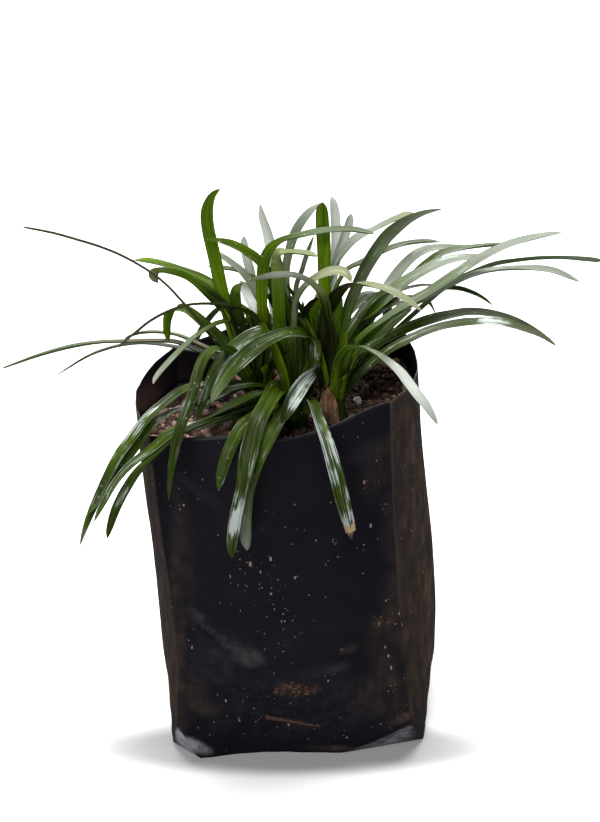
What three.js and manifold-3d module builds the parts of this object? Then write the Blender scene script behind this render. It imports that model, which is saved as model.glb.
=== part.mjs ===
import * as THREE from "three";
import Module from "manifold-3d";

// Dwarf mondo grass in a gusseted black nursery bag. Millimetres, +X right, +Y back, +Z up, with
// the origin at the middle of the bag's base, on the ground.

const wasm = await Module();
wasm.setup();

// Driving dimensions of the bag
const BAG_HEIGHT = 148;
const FILM = 0.8;
const GAP = 0.3;
const FACE_STEPS = 8;
const CREASE = 1.2;
const FOLD_TOP = 0.15;

// The bag's plan at five evenly spaced heights, base first. The corners are its gusset creases:
// front left, front right, back right and back left. The faces, front, right, back and left, swell
// outward between them. Each corner and each face's middle has its own rim height.
const CORNERS = [
  { at: [[-46, -46], [-45, -47], [-47, -46], [-51, -45], [-54, -44]], rim: 145 },
  { at: [[48, -46], [43, -45], [40, -43], [38, -41], [36, -38]], rim: 156 },
  { at: [[46, 38], [48, 40], [48, 40], [48, 39], [46, 37]], rim: 153 },
  { at: [[-44, 40], [-46, 42], [-48, 42], [-50, 41], [-50, 38]], rim: 147 },
];
const FACES = [
  { swell: [0, 6, 8, 8, 8], roundness: 2.2, rim: 148 },
  { swell: [7, 14, 13, 10, 7], roundness: 1.7, rim: 153 },
  { swell: [2, 8, 9, 9, 11], roundness: 2.2, rim: 158 },
  { swell: [5, 9.5, 10, 9.5, 10], roundness: 1.7, rim: 146 },
];
// How far the folded base corners are cut back at the ground, before and after each corner
const BASE_CUTS = [[9, 9], [26, 10], [10, 10], [10, 10]];
const WALL_SHARES = [0, 0.03, 0.08, FOLD_TOP, 0.24, 0.36, 0.48, 0.6, 0.72, 0.84, 0.93, 1];
const BURIED_SHARES = WALL_SHARES.filter((share) => share < 0.9);

// Driving dimensions of the soil, its chips and the perlite grain
const SOIL_TOP = 140;
const SOIL_DIP = { depth: 12, fromX: -8, toX: -36, fromY: 0, toY: 36 };
const SOIL_SHRINKS = [0.86, 0.68, 0.5, 0.32, 0.15];
const HOLE_SIDES = 16;
const CHIP_COUNT = 60;
const CHIP_SIZES = [1.8, 3.1];
const CHIP_SIDES = 5;
const GOLDEN_SHARE = 0.6180339887;
const PERLITE = { at: [25, -1], radius: 1.8 };

// Driving dimensions of the plant
const CROWN_RADIUS = 5.6;
const CROWN_DEPTH = 8;
const CROWN_RISE = 9;
const ROOT = { height: 1, spread: 2.4 };
const NECK = { height: 10, spread: 4 };
const BLADE_THICKNESS = 0.8;
const BLADE_FOLD = 0.16;
const BLADE_STEPS = 7;
const BLADE_END = 0.95;
const INNER_LEAVES = 7;
const INNER_LEAF = { width: 5, reach: 7, height: [20, 46], steps: 4 };
// A dry papery sheath wraps the front of the right tuft's crown; angles are in degrees.
const SHEATH = { tuft: 0, middle: 248, span: 84, thickness: 0.8, flare: 1.8, depth: 4, height: 16 };

// Each tuft stands at its foot. A leaf gives its width, its roll about its own line and the change
// of roll up to the tip in degrees, and then the points it passes from its root to its tip.
const TUFTS = [
  {
    name: "tuft_right",
    foot: [15, -18],
    leaves: [
      [5.6, -15, 0, [11, -6, 184], [11, -2, 207], [10, 0, 222]],
      [6.2, 50, 0, [18, 2, 177], [27, 12, 190], [38, 22, 201], [58, 32, 208]],
      [5.6, -9, 0, [28, 12, 171], [42, 28, 184], [57, 38, 190], [71, 46, 188]],
      [5.6, -7, 0, [30, 4, 173], [48, 18, 187], [67, 28, 194], [92, 38, 192]],
      [5.8, -6, 0, [23, -12, 168], [50, -2, 183], [80, 8, 198], [104, 16, 204]],
      [5.4, -22, 0, [34, 14, 166], [68, 30, 181], [96, 40, 185], [127, 48, 180]],
      [5.6, -14, 0, [35, 6, 170], [63, 16, 183], [88, 24, 187], [116, 30, 178]],
      [5.2, -20, 0, [35, 26, 166], [56, 40, 171], [72, 50, 167], [84, 56, 158]],
      [4.6, -20, 0, [33, 34, 161], [46, 48, 164], [56, 56, 160], [60, 60, 153]],
      [5.8, 8, 0, [31, -8, 165], [52, -4, 175], [78, 0, 178], [103, 4, 162]],
      [5.8, 8, 0, [30, -16, 163], [49, -14, 173], [72, -12, 178], [99, -10, 168]],
      [5.6, 10, 0, [12, -22, 186], [19, -24, 196], [33, -26, 197], [47, -30, 189]],
      [5.8, 40, 0, [11, -25, 179], [6, -31, 200], [-4, -35, 206], [-16, -40, 205]],
      [6.0, 12, 0, [19, -4, 169], [34, 6, 181], [51, 14, 189], [76, 22, 192]],
      [6.0, 4, 0, [16, -28, 166], [20, -36, 177], [31, -44, 178], [53, -54, 154]],
      [5.2, 0, 0, [24, -10, 158], [34, -4, 169], [46, 4, 177]],
      [5.8, 0, 0, [10, -13, 162], [12, -10, 187]],
    ],
  },
  {
    name: "tuft_front",
    foot: [0, -23],
    leaves: [
      [5.8, 65, -45, [-6, -16, 188], [-8, -18, 206], [-2, -18, 209], [9, -20, 207]],
      [6.0, 60, -30, [-1, -20, 178], [4, -24, 197], [14, -26, 204], [21, -28, 198]],
      [6.2, 20, 0, [7, -32, 164], [3, -42, 169], [-2, -50, 164], [-4, -55, 155]],
      [6.0, 0, 0, [6, -44, 159], [10, -59, 155], [15, -66, 136], [20, -68, 116]],
      [6.2, 0, 0, [-7, -40, 164], [-14, -56, 159], [-19, -68, 142], [-23, -74, 110]],
      [6.0, 0, 0, [1, -42, 167], [-7, -56, 161], [-14, -66, 142], [-18, -70, 111]],
      [5.8, 15, 0, [-14, -40, 156], [-20, -54, 155], [-25, -62, 146], [-28, -65, 133]],
      [6.2, -22, 0, [6, -26, 176], [-5, -32, 181], [-18, -40, 178], [-31, -50, 161]],
      [5.8, 15, 0, [-16, -32, 153], [-38, -50, 151], [-55, -60, 145], [-74, -68, 120]],
      [5.6, 10, 0, [-19, -36, 152], [-38, -55, 151], [-55, -66, 144], [-68, -74, 120]],
      [5.6, 10, 0, [-11, -30, 156], [-22, -40, 156], [-31, -47, 154]],
    ],
  },
  {
    name: "tuft_left",
    foot: [-15, -8],
    leaves: [
      [5.6, -43, 0, [-25, 2, 181], [-32, 4, 201], [-33, 5, 218], [-28, 6, 225]],
      [5.4, 17, 0, [-43, -2, 182], [-63, -2, 198], [-81, -4, 208], [-104, -6, 214]],
      [5.6, -6, 0, [-26, 12, 180], [-41, 16, 186], [-56, 20, 190], [-64, 22, 191]],
      [5.8, -8, 0, [-23, 0, 173], [-33, 2, 184], [-45, 4, 192], [-53, 4, 193], [-52, 4, 187]],
      [5.4, 10, 0, [-12, -8, 175], [-32, -10, 184], [-47, -12, 183], [-67, -16, 169]],
      [5.8, -14, 0, [-27, 6, 159], [-41, 10, 172], [-49, 12, 173], [-51, 12, 167], [-50, 12, 160]],
      [5.4, 12, 0, [-37, 6, 156], [-64, 8, 162], [-87, 6, 161], [-118, 2, 151]],
      [5.6, -6, 0, [-19, -12, 170], [-26, -16, 180], [-36, -26, 178], [-52, -42, 165]],
      [5.4, -4, 0, [-14, 4, 176], [-19, 8, 189], [-27, 10, 196], [-34, 12, 198]],
      [5.6, 65, -50, [-13, -6, 184], [-12, -8, 203], [-3, -8, 210], [14, -8, 213], [32, -10, 212]],
      [6.0, 60, 0, [-21, -8, 173], [-24, -10, 189], [-19, -8, 193]],
      [5.6, 42, 0, [-27, -32, 175], [-34, -48, 173], [-40, -66, 158], [-46, -72, 133]],
      [5.8, -16, 0, [-14, -14, 175], [-24, -24, 171], [-32, -35, 162], [-37, -40, 150]],
      [5.8, 15, 0, [-27, -20, 157], [-42, -38, 162], [-62, -54, 146], [-80, -64, 109]],
      [5.6, 15, 0, [-31, -24, 148], [-45, -44, 155], [-61, -56, 141], [-77, -62, 121]],
    ],
  },
  {
    name: "tuft_back",
    foot: [2, 8],
    leaves: [
      [5.0, 14, 0, [-32, 18, 153], [-50, 22, 159], [-66, 26, 157], [-72, 28, 151]],
      [5.0, 14, 0, [-39, 18, 153], [-64, 24, 154], [-82, 26, 149], [-99, 28, 138]],
      [5.6, -28, 0, [-8, 26, 168], [-10, 34, 196], [-14, 38, 210]],
      [5.6, -46, 0, [-15, 22, 169], [-18, 28, 188], [-21, 30, 198]],
      [5.6, -10, 0, [-9, 4, 187], [-14, 2, 197], [-25, 0, 205], [-34, -2, 208]],
      [5.0, 10, 0, [-13, 20, 174], [-22, 24, 184], [-35, 26, 187]],
      [5.6, 14, 0, [-4, 20, 185], [2, 26, 203], [12, 30, 214]],
      [5.6, 20, 0, [15, 36, 177], [17, 42, 203], [15, 44, 211]],
      [5.6, 33, 0, [16, 30, 181], [19, 38, 197], [23, 40, 204]],
      [5.4, 15, 0, [16, 24, 184], [25, 30, 195], [39, 34, 202], [47, 36, 206]],
      [5.2, 5, 0, [18, 14, 185], [32, 20, 193], [45, 24, 196], [58, 28, 196]],
      [5.0, 50, 0, [0, 24, 175], [3, 28, 186], [8, 32, 198]],
      [5.6, 0, 0, [-24, 34, 168], [-40, 56, 168], [-52, 74, 146]],
      [5.6, 0, 0, [-12, 38, 169], [-22, 62, 170], [-30, 84, 140]],
      [5.8, 0, 0, [-2, 40, 169], [-6, 66, 168], [-8, 88, 128]],
      [5.6, 0, 0, [8, 40, 168], [14, 64, 171], [20, 90, 146]],
      [5.8, 0, 0, [20, 42, 168], [32, 62, 167], [42, 80, 134]],
      [5.4, 0, 0, [32, 36, 166], [52, 52, 166], [68, 66, 146]],
    ],
  },
];

// Eases a share from 0 to 1 with flat ends.
function smooth(share) {
  const t = Math.min(Math.max(share, 0), 1);
  return t * t * (3 - 2 * t);
}

// The value at a height share among evenly spaced ones, joined by a smooth curve.
function atHeight(values, share) {
  const place = Math.min(Math.max(share, 0), 1) * (values.length - 1);
  const i = Math.min(Math.floor(place), values.length - 2);
  const t = place - i;
  const before = i > 0 ? (values[i + 1] - values[i - 1]) / 2 : values[1] - values[0];
  const last = i + 2 < values.length ? values[i + 2] : 2 * values[i + 1] - values[i];
  const after = (last - values[i]) / 2;
  return (
    (2 * t ** 3 - 3 * t ** 2 + 1) * values[i] +
    (t ** 3 - 2 * t ** 2 + t) * before +
    (3 * t ** 2 - 2 * t ** 3) * values[i + 1] +
    (t ** 3 - t ** 2) * after
  );
}

// A repeatable number from 0 to 1 for the n-th of a series.
function fraction(n, series) {
  return ((n + 1) * GOLDEN_SHARE + series * 0.37) % 1;
}

function centreOf(points) {
  const sum = points.reduce((total, point) => total.add(point), new THREE.Vector3());
  return sum.divideScalar(points.length);
}

// A closed solid through rings of equal count, with a flat fan over the first and the last ring.
// Seen from the last ring's end, each ring runs counter-clockwise.
function loft(rings) {
  const count = rings[0].length;
  const points = rings.flat();
  const indices = [];
  for (let r = 0; r + 1 < rings.length; r += 1) {
    for (let i = 0; i < count; i += 1) {
      const a = r * count + i;
      const b = r * count + ((i + 1) % count);
      indices.push(a, b, b + count, a, b + count, a + count);
    }
  }
  const top = (rings.length - 1) * count;
  points.push(centreOf(rings[0]), centreOf(rings.at(-1)));
  for (let i = 0; i < count; i += 1) {
    const next = (i + 1) % count;
    indices.push(next, i, points.length - 2);
    indices.push(top + i, top + next, points.length - 1);
  }
  const vertProperties = new Float32Array(points.flatMap((point) => point.toArray()));
  const triVerts = new Uint32Array(indices);
  return new wasm.Manifold(new wasm.Mesh({ numProp: 3, vertProperties, triVerts }));
}

// Fusing can seal a small hollow among crossing blades; the outer body alone has it filled.
function largestBody(solid) {
  return solid.decompose().sort((a, b) => b.volume() - a.volume())[0];
}

// Round rings about an upright axis, for crowns, holes and other turned forms.
function turned(x, y, profile, sides) {
  return loft(
    profile.map(([radius, z]) =>
      Array.from({ length: sides }, (_, i) => {
        const angle = (2 * Math.PI * i) / sides;
        return new THREE.Vector3(x + radius * Math.cos(angle), y + radius * Math.sin(angle), z);
      }),
    ),
  );
}

function finished(solid, name, colour, roughness) {
  const mesh = solid.getMesh();
  const geometry = new THREE.BufferGeometry();
  geometry.setAttribute("position", new THREE.BufferAttribute(mesh.vertProperties, 3));
  geometry.setIndex(new THREE.BufferAttribute(mesh.triVerts, 1));
  const material = new THREE.MeshStandardMaterial({ color: colour, roughness, metalness: 0 });
  const part = new THREE.Mesh(geometry, material);
  part.name = name;
  return part;
}

// Bag: the point of the film's outside at a place round the plan and a share of the height. Each
// face has FACE_STEPS + 1 points, from one crease to the next.
const RING_COUNT = CORNERS.length * (FACE_STEPS + 1);

function bagPlace(index) {
  const face = Math.floor(index / (FACE_STEPS + 1));
  return { face, along: (index % (FACE_STEPS + 1)) / FACE_STEPS };
}

function rimHeight(index) {
  const { face, along } = bagPlace(index);
  const corner = CORNERS[along < 0.5 ? face : (face + 1) % CORNERS.length];
  const middle = FACES[face].rim;
  return middle + (corner.rim - middle) * smooth(Math.abs(2 * along - 1));
}

function bagPoint(index, share) {
  const { face, along } = bagPlace(index);
  const next = (face + 1) % CORNERS.length;
  const [from, to] = [face, next].map((corner) =>
    new THREE.Vector2(...[0, 1].map((axis) => atHeight(CORNERS[corner].at.map((p) => p[axis]), share))),
  );
  const side = to.clone().sub(from);
  const length = side.length();
  const folded = 1 - smooth(share / FOLD_TOP);
  const start = CREASE + (BASE_CUTS[face][1] - CREASE) * folded;
  const end = CREASE + (BASE_CUTS[next][0] - CREASE) * folded;
  const t = (start + (length - start - end) * along) / length;
  const { swell, roundness } = FACES[face];
  const out = atHeight(swell, share) * (1 - Math.abs(2 * t - 1) ** roundness);
  const x = from.x + side.x * t + (side.y / length) * out;
  const y = from.y + side.y * t - (side.x / length) * out;
  const z = share * (BAG_HEIGHT + (rimHeight(index) - BAG_HEIGHT) * share ** 2);
  return new THREE.Vector3(x, y, z);
}

// Moves each point of a level ring inward by a distance.
function inset(ring, distance) {
  return ring.map((point, i) => {
    const before = ring.at(i - 1);
    const after = ring[(i + 1) % ring.length];
    const along = new THREE.Vector3(after.x - before.x, after.y - before.y, 0).normalize();
    return new THREE.Vector3(point.x - along.y * distance, point.y + along.x * distance, point.z);
  });
}

function bagRing(share) {
  return Array.from({ length: RING_COUNT }, (_, i) => bagPoint(i, share));
}

// Rings along the inside of the film, at a distance from its outside.
function insideRings(shares, distance) {
  const rings = shares.map((share) => inset(bagRing(share), distance));
  rings[0].forEach((point) => point.setZ(distance));
  return rings;
}

function bag() {
  const inside = insideRings(WALL_SHARES, FILM);
  const above = inside.at(-1).map((point) => point.clone().setZ(BAG_HEIGHT + 40));
  return loft(WALL_SHARES.map(bagRing)).subtract(loft([...inside, above]));
}

// Soil: it fills the bag up to a level, with a lumpy top
function wallRing(heights) {
  return heights.map((height, i) => {
    let share = height / BAG_HEIGHT;
    for (let pass = 0; pass < 4; pass += 1) {
      share = height / (BAG_HEIGHT + (rimHeight(i) - BAG_HEIGHT) * share ** 2);
    }
    return bagPoint(i, share).setZ(height);
  });
}

// The top dips behind the plant, towards the bag's back left corner.
function soilHeight(x, y) {
  const { depth, fromX, toX, fromY, toY } = SOIL_DIP;
  const dip = depth * smooth((x - fromX) / (toX - fromX)) * smooth((y - fromY) / (toY - fromY));
  const swells = 1.1 * Math.sin(x / 8 + 1) * Math.cos(y / 7);
  const lumps = 0.7 * Math.sin((x + y) / 3.7) * Math.sin((x - 2 * y) / 5.3);
  return SOIL_TOP + swells + lumps - dip;
}

function chip(x, y, radius, turn) {
  const z = soilHeight(x, y);
  const rings = [[1, -0.4], [0.5, 0.6]].map(([width, rise], level) =>
    Array.from({ length: CHIP_SIDES }, (_, i) => {
      const angle = (2 * Math.PI * i) / CHIP_SIDES + turn + level * 0.5;
      const reach = radius * width * (0.8 + 0.4 * fraction(i, turn + level));
      return new THREE.Vector3(
        x + reach * Math.cos(angle) * 1.2,
        y + reach * Math.sin(angle) * 0.9,
        z + radius * rise,
      );
    }),
  );
  return loft(rings);
}

function soil() {
  const level = wallRing(Array(RING_COUNT).fill(SOIL_TOP));
  const edge = inset(wallRing(level.map(({ x, y }) => soilHeight(x, y))), FILM + GAP);
  const middle = centreOf(edge);
  const relief = SOIL_SHRINKS.map((size) =>
    edge.map((point) => {
      const spot = middle.clone().lerp(point, size);
      return spot.setZ(soilHeight(spot.x, spot.y));
    }),
  );
  const sides = insideRings(BURIED_SHARES, FILM + GAP);
  const chips = Array.from({ length: CHIP_COUNT }, (_, n) => {
    const reach = 0.88 * Math.sqrt((n + 0.5) / CHIP_COUNT);
    const angle = 2 * Math.PI * GOLDEN_SHARE * n;
    const radius = CHIP_SIZES[0] + (CHIP_SIZES[1] - CHIP_SIZES[0]) * fraction(n, 1);
    const place = edge[Math.floor((angle / (2 * Math.PI)) * RING_COUNT) % RING_COUNT];
    const spot = middle.clone().lerp(place, reach);
    return chip(spot.x, spot.y, radius, angle);
  });
  const holes = TUFTS.map(({ foot }, index) => {
    const collar = index === SHEATH.tuft ? SHEATH.thickness + GAP : 0;
    const radius = (CROWN_RADIUS + GAP + collar) / Math.cos(Math.PI / HOLE_SIDES);
    const heights = [SOIL_TOP - CROWN_DEPTH - GAP, SOIL_TOP + CROWN_RISE];
    return turned(...foot, heights.map((z) => [radius, z]), HOLE_SIDES);
  });
  const dimple = perlite(GAP);
  return wasm.Manifold.union([loft([...sides, edge, ...relief]), ...chips])
    .subtract(wasm.Manifold.union(holes))
    .subtract(dimple);
}

// Perlite: one white grain half sunk in the soil. The dimple it lies in is the same form, larger.
function perlite(margin) {
  const [x, y] = PERLITE.at;
  const z = soilHeight(x, y) + PERLITE.radius * 0.4;
  const radius = PERLITE.radius + margin;
  return turned(x, y, [[0.5, -0.9], [0.95, -0.3], [1, 0.3], [0.55, 0.85]].map(([width, rise]) => [
    radius * width,
    z + radius * rise,
  ]), 7);
}

// Plant: a blade is a thin strap with a shallow fold along its middle, full to near its tip
function bladeShare(t) {
  const foot = 0.5 + 0.5 * smooth(t / 0.25);
  const end = Math.sqrt(Math.max(1 - Math.max((t - 0.8) / 0.2, 0) ** 2.5, 0));
  return foot * Math.max(end, 0.12);
}

function blade(points, width, roll, twist, steps) {
  const curve = new THREE.CatmullRomCurve3(points, false, "centripetal");
  const heading = points.at(-1).clone().sub(points[0]).setZ(0).normalize();
  const level = new THREE.Vector3(-heading.y, heading.x, 0);
  const shares = Array.from({ length: steps }, (_, i) => (i * BLADE_END) / (steps - 1));
  const rings = [...shares, 1].map((t) => {
    const spot = curve.getPointAt(t);
    const along = curve.getTangentAt(t);
    const side = level.clone().addScaledVector(along, -level.dot(along)).normalize();
    side.applyAxisAngle(along, THREE.MathUtils.degToRad(roll + twist * t));
    const face = new THREE.Vector3().crossVectors(along, side);
    const half = (width / 2) * bladeShare(t);
    const thick = BLADE_THICKNESS / 2;
    const fold = half * BLADE_FOLD;
    return [[-half, fold], [0, -thick - fold], [half, fold], [0, thick - fold]].map(([across, out]) =>
      spot.clone().addScaledVector(side, across).addScaledVector(face, out),
    );
  });
  return loft(rings);
}

// A leaf's root lies in its tuft's crown and its neck at the crown's top, both a little way towards
// where the leaf goes.
function leaf(foot, [width, roll, twist, ...passes], steps) {
  const points = passes.map((pass) => new THREE.Vector3(...pass));
  const [root, neck] = [ROOT, NECK].map(({ height, spread }) => {
    const spot = new THREE.Vector3(...foot, SOIL_TOP + height);
    const lean = points[0].clone().sub(spot).setZ(0).clampLength(0, spread);
    return spot.add(lean);
  });
  return blade([root, neck, ...points], width, roll, twist, steps);
}

// Short upright leaves crowd the middle of every tuft.
function innerLeaf(foot, n, series) {
  const angle = 2 * Math.PI * fraction(n, series);
  const [low, high] = INNER_LEAF.height;
  const rise = low + (high - low) * fraction(n, series + 1);
  const passes = [[0.6, 0.5], [1, 1]].map(([out, up]) => [
    foot[0] + INNER_LEAF.reach * out * Math.cos(angle),
    foot[1] + INNER_LEAF.reach * out * Math.sin(angle),
    SOIL_TOP + rise * up,
  ]);
  return leaf(foot, [INNER_LEAF.width, 0, 0, ...passes], INNER_LEAF.steps);
}

function tuft({ foot, leaves }, series) {
  const crown = turned(...foot, [
    [CROWN_RADIUS - 1.6, SOIL_TOP - CROWN_DEPTH],
    [CROWN_RADIUS, SOIL_TOP - 3],
    [CROWN_RADIUS, SOIL_TOP + 2],
    [CROWN_RADIUS - 1.6, SOIL_TOP + CROWN_RISE],
  ], 8);
  const long = leaves.map((row) => leaf(foot, row, BLADE_STEPS));
  const inner = Array.from({ length: INNER_LEAVES }, (_, n) => innerLeaf(foot, n, series));
  return largestBody(wasm.Manifold.union([crown, ...long, ...inner]));
}

// The dry sheath stands in the soil round part of its crown, and flares and narrows to a point.
function drySheath() {
  const [x, y] = TUFTS[SHEATH.tuft].foot;
  const rings = [0, 0.35, 0.7, 1].map((t) => {
    const inner = CROWN_RADIUS + GAP + SHEATH.flare * t ** 2;
    const spread = SHEATH.span * (1 - 0.8 * t ** 2);
    const z = SOIL_TOP - SHEATH.depth + (SHEATH.depth + SHEATH.height) * t;
    const arc = (radius) => [-0.5, -0.25, 0, 0.25, 0.5].map((share) => {
      const angle = THREE.MathUtils.degToRad(SHEATH.middle + spread * share);
      return new THREE.Vector3(x + radius * Math.cos(angle), y + radius * Math.sin(angle), z);
    });
    return [...arc(inner + SHEATH.thickness), ...arc(inner).reverse()];
  });
  return loft(rings);
}

const TUFT_COLOURS = [0x3f6a1e, 0x2c5417, 0x376220, 0x4d6f42];

const group = new THREE.Group();
group.add(finished(bag(), "bag", 0x1b1a1f, 0.45));
group.add(finished(soil(), "soil", 0x4c3028, 0.95));
group.add(finished(perlite(0), "perlite_grain", 0xdedad2, 0.9));
group.add(finished(drySheath(), "dry_sheath", 0x7d5632, 0.85));
TUFTS.forEach((row, series) => {
  group.add(finished(tuft(row, series), row.name, TUFT_COLOURS[series], 0.4));
});

export default group;
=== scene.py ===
import math
import random

import bmesh
import bpy
from mathutils import Matrix, Vector, noise


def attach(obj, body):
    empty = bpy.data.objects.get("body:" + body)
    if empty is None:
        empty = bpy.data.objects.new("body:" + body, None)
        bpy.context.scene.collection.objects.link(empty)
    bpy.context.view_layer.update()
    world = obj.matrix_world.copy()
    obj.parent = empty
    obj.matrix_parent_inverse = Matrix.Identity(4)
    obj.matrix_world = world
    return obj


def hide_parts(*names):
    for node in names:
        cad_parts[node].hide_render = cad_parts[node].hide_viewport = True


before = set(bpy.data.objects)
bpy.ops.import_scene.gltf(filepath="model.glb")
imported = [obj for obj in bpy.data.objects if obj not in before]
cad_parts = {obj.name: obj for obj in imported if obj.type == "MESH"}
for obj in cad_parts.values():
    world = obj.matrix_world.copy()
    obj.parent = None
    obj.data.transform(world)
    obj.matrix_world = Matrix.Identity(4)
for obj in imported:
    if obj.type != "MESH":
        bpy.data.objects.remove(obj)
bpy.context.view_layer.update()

# Bag
# A gusseted bag of thin black polythene film, opened out by the soil in it. Its four corners keep the
# fold lines of the flat bag, its rim was cut by hand and waves, and its base corners are tucked under.

MM = 0.001
BAG_HEIGHT = 148
FILM = 0.35
CREASE = 0.6
FOLD_TOP = 0.12
# The plan in millimetres at five evenly spaced heights, base first: front left, front right, back
# right and back left corners, and the swell of the front, right, back and left faces between them.
BAG_CORNERS = [
    {"at": [(-49.5, -50), (-46.5, -48), (-48.5, -46.5), (-52, -45), (-54.5, -44)], "rim": 145},
    {"at": [(50, -49), (44.5, -46.5), (41, -44), (38, -41), (36, -38)], "rim": 156},
    {"at": [(48, 38), (49, 40), (48, 40), (48, 39), (46, 37)], "rim": 153},
    {"at": [(-45, 40), (-47, 42), (-48, 42), (-50, 41), (-50, 38)], "rim": 147},
]
BAG_FACES = [
    {"swell": [-6.5, 6, 8, 8, 8], "roundness": 2.2, "rim": 148, "dust": 0.0},
    {"swell": [7, 12.8, 12.2, 9, 8], "roundness": 1.7, "rim": 153, "dust": 0.95},
    {"swell": [1, 8, 9, 9, 11], "roundness": 2.2, "rim": 158, "dust": 0.35},
    {"swell": [4, 9.2, 9.6, 10, 10.5], "roundness": 1.7, "rim": 146, "dust": 1.0},
]
BASE_CUTS = [(14, 11), (31, 15), (12, 12), (12, 12)]
# Places along a face and then round the corner after it, closer together near the creases.
FACE_COLUMNS = [t - 0.12 * math.sin(math.tau * t) for t in (step / 56 for step in range(57))]
PLACES = [(face, along) for face in range(4) for along in [*FACE_COLUMNS, 1.25, 1.5, 1.75]]
FILM_RINGS = 96
# A slack fold across the lower left of the front: where it starts and ends, across and up.
SLACK_FOLD = (-42, 74.5), (-23, 50.5)
RIM_SAG = 2.8


def smooth(share):
    t = min(max(share, 0.0), 1.0)
    return t * t * (3 - 2 * t)


def at_height(values, share):
    """The value at a height share among evenly spaced ones, joined by a smooth curve."""
    place = min(max(share, 0.0), 1.0) * (len(values) - 1)
    i = min(int(place), len(values) - 2)
    t = place - i
    before = (values[i + 1] - values[i - 1]) / 2 if i > 0 else values[1] - values[0]
    last = values[i + 2] if i + 2 < len(values) else 2 * values[i + 1] - values[i]
    after = (last - values[i]) / 2
    return (
        (2 * t**3 - 3 * t**2 + 1) * values[i]
        + (t**3 - 2 * t**2 + t) * before
        + (3 * t**2 - 2 * t**3) * values[i + 1]
        + (t**3 - t**2) * after
    )


def rim_height(place):
    """How high the film was cut at a place. The front sags between its middle and its right corner."""
    face, along = place
    corner = BAG_CORNERS[face if along < 0.5 else (face + 1) % 4]
    middle = BAG_FACES[face]["rim"]
    height = middle + (corner["rim"] - middle) * smooth(abs(2 * along - 1))
    if face == 0 and along <= 1:
        height -= RIM_SAG * smooth((along - 0.3) / 0.35) * smooth((1 - along) / 0.3)
    return height


def bag_point(place, share):
    """The film's outside at a place round the plan and a share of the height, in millimetres."""
    face, along = place
    following = (face + 1) % 4
    if along > 1:
        return bag_point((face, 1.0), share).lerp(bag_point((following, 0.0), share), along - 1)
    start, end = (
        Vector([at_height([spot[axis] for spot in BAG_CORNERS[corner]["at"]], share) for axis in (0, 1)])
        for corner in (face, following)
    )
    side = end - start
    folded = max(1 - share / FOLD_TOP, 0)
    first = CREASE + (BASE_CUTS[face][1] - CREASE) * folded
    last = CREASE + (BASE_CUTS[following][0] - CREASE) * folded
    t = (first + (side.length - first - last) * along) / side.length
    bow = 1 - abs(2 * t - 1) ** BAG_FACES[face]["roundness"]
    out = at_height(BAG_FACES[face]["swell"], share) * bow
    spot = start + side * t + Vector((side.y, -side.x)) * (out / side.length)
    z = share * (BAG_HEIGHT + (rim_height(place) - BAG_HEIGHT) * share**2)
    return Vector((spot.x, spot.y, z))


def inset(ring, distances):
    """Moves each point of a level ring inward by its distance."""
    moved = []
    for i, point in enumerate(ring):
        along = ring[(i + 1) % len(ring)] - ring[i - 1]
        along.z = 0
        along.normalize()
        moved.append(point + Vector((-along.y, along.x, 0)) * distances[i])
    return moved


def slack_fold(point):
    """How far the slack fold on the front sinks the film: a raised line with a hollow under it."""
    (x, z), (end_x, end_z) = SLACK_FOLD
    way = Vector((end_x - x, end_z - z))
    spot = Vector((point.x - x, point.z - z))
    share = spot.dot(way) / way.length_squared
    off = (spot.x * way.y - spot.y * way.x) / way.length
    shape = 0.9 * math.exp(-((off - 2.6) / 1.9) ** 2) - 0.8 * math.exp(-((off / 1.6) ** 2))
    return shape * smooth(share / 0.3) * smooth((1 - share) / 0.3)


def film_relief(point, share, place):
    """How far the film sinks in: slack dents, long folds, a rippling rim and a foot drawn into creases."""
    face, along = place
    free = smooth(along / 0.08) * smooth((1 - along) / 0.08)
    dents = noise.noise(Vector((point.x / 26, point.y / 26, point.z / 60)))
    folds = noise.noise(Vector((point.x / 7 + point.z / 20, point.y / 7, point.z / 34 + 5)))
    ripple = math.sin(point.x / 5.5 + point.y / 7) * smooth((share - 0.86) / 0.14)
    foot = smooth((0.3 - share) / 0.3) * smooth(share / 0.04)
    drawn = noise.noise(Vector((point.x / 9 - point.z / 9, point.y / 9, point.z / 15 + 9)))
    slack = slack_fold(point) if face == 0 else 0
    return free * (0.8 * dents + 0.34 * folds + 0.22 * ripple + slack + foot * 0.9 * drawn)


def bag_rings():
    """Rings up the film's outside, over the cut rim and down its inside, with each ring's share."""
    shares = [ring / (FILM_RINGS - 1) for ring in range(FILM_RINGS)]
    outside = []
    for share in shares:
        ring = [bag_point(place, share) for place in PLACES]
        outside.append(inset(ring, [film_relief(*pair) for pair in zip(ring, [share] * len(PLACES), PLACES)]))
    inside = [inset(ring, [FILM] * len(PLACES)) for ring in outside]
    for point in inside[0]:
        point.z = FILM
    lip = inset(outside[-1], [FILM / 2] * len(PLACES))
    for point in lip:
        point.z += FILM / 3
    return outside + [lip] + inside[::-1], shares + [1.0] + shares[::-1]


def add_tube(mesh, rings):
    """Joins rings of equal count in a row and closes both ends with a fan."""
    rows = [[mesh.verts.new(point * MM) for point in ring] for ring in rings]
    for lower, upper in zip(rows, rows[1:]):
        for i in range(len(lower)):
            following = (i + 1) % len(lower)
            mesh.faces.new((lower[i], lower[following], upper[following], upper[i]))
    for row, flipped in ((rows[0], True), (rows[-1], False)):
        middle = mesh.verts.new(sum((vert.co for vert in row), Vector()) / len(row))
        for i in range(len(row)):
            pair = (row[i], row[(i + 1) % len(row)])
            mesh.faces.new((*(pair[::-1] if flipped else pair), middle))
    return rows


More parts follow.
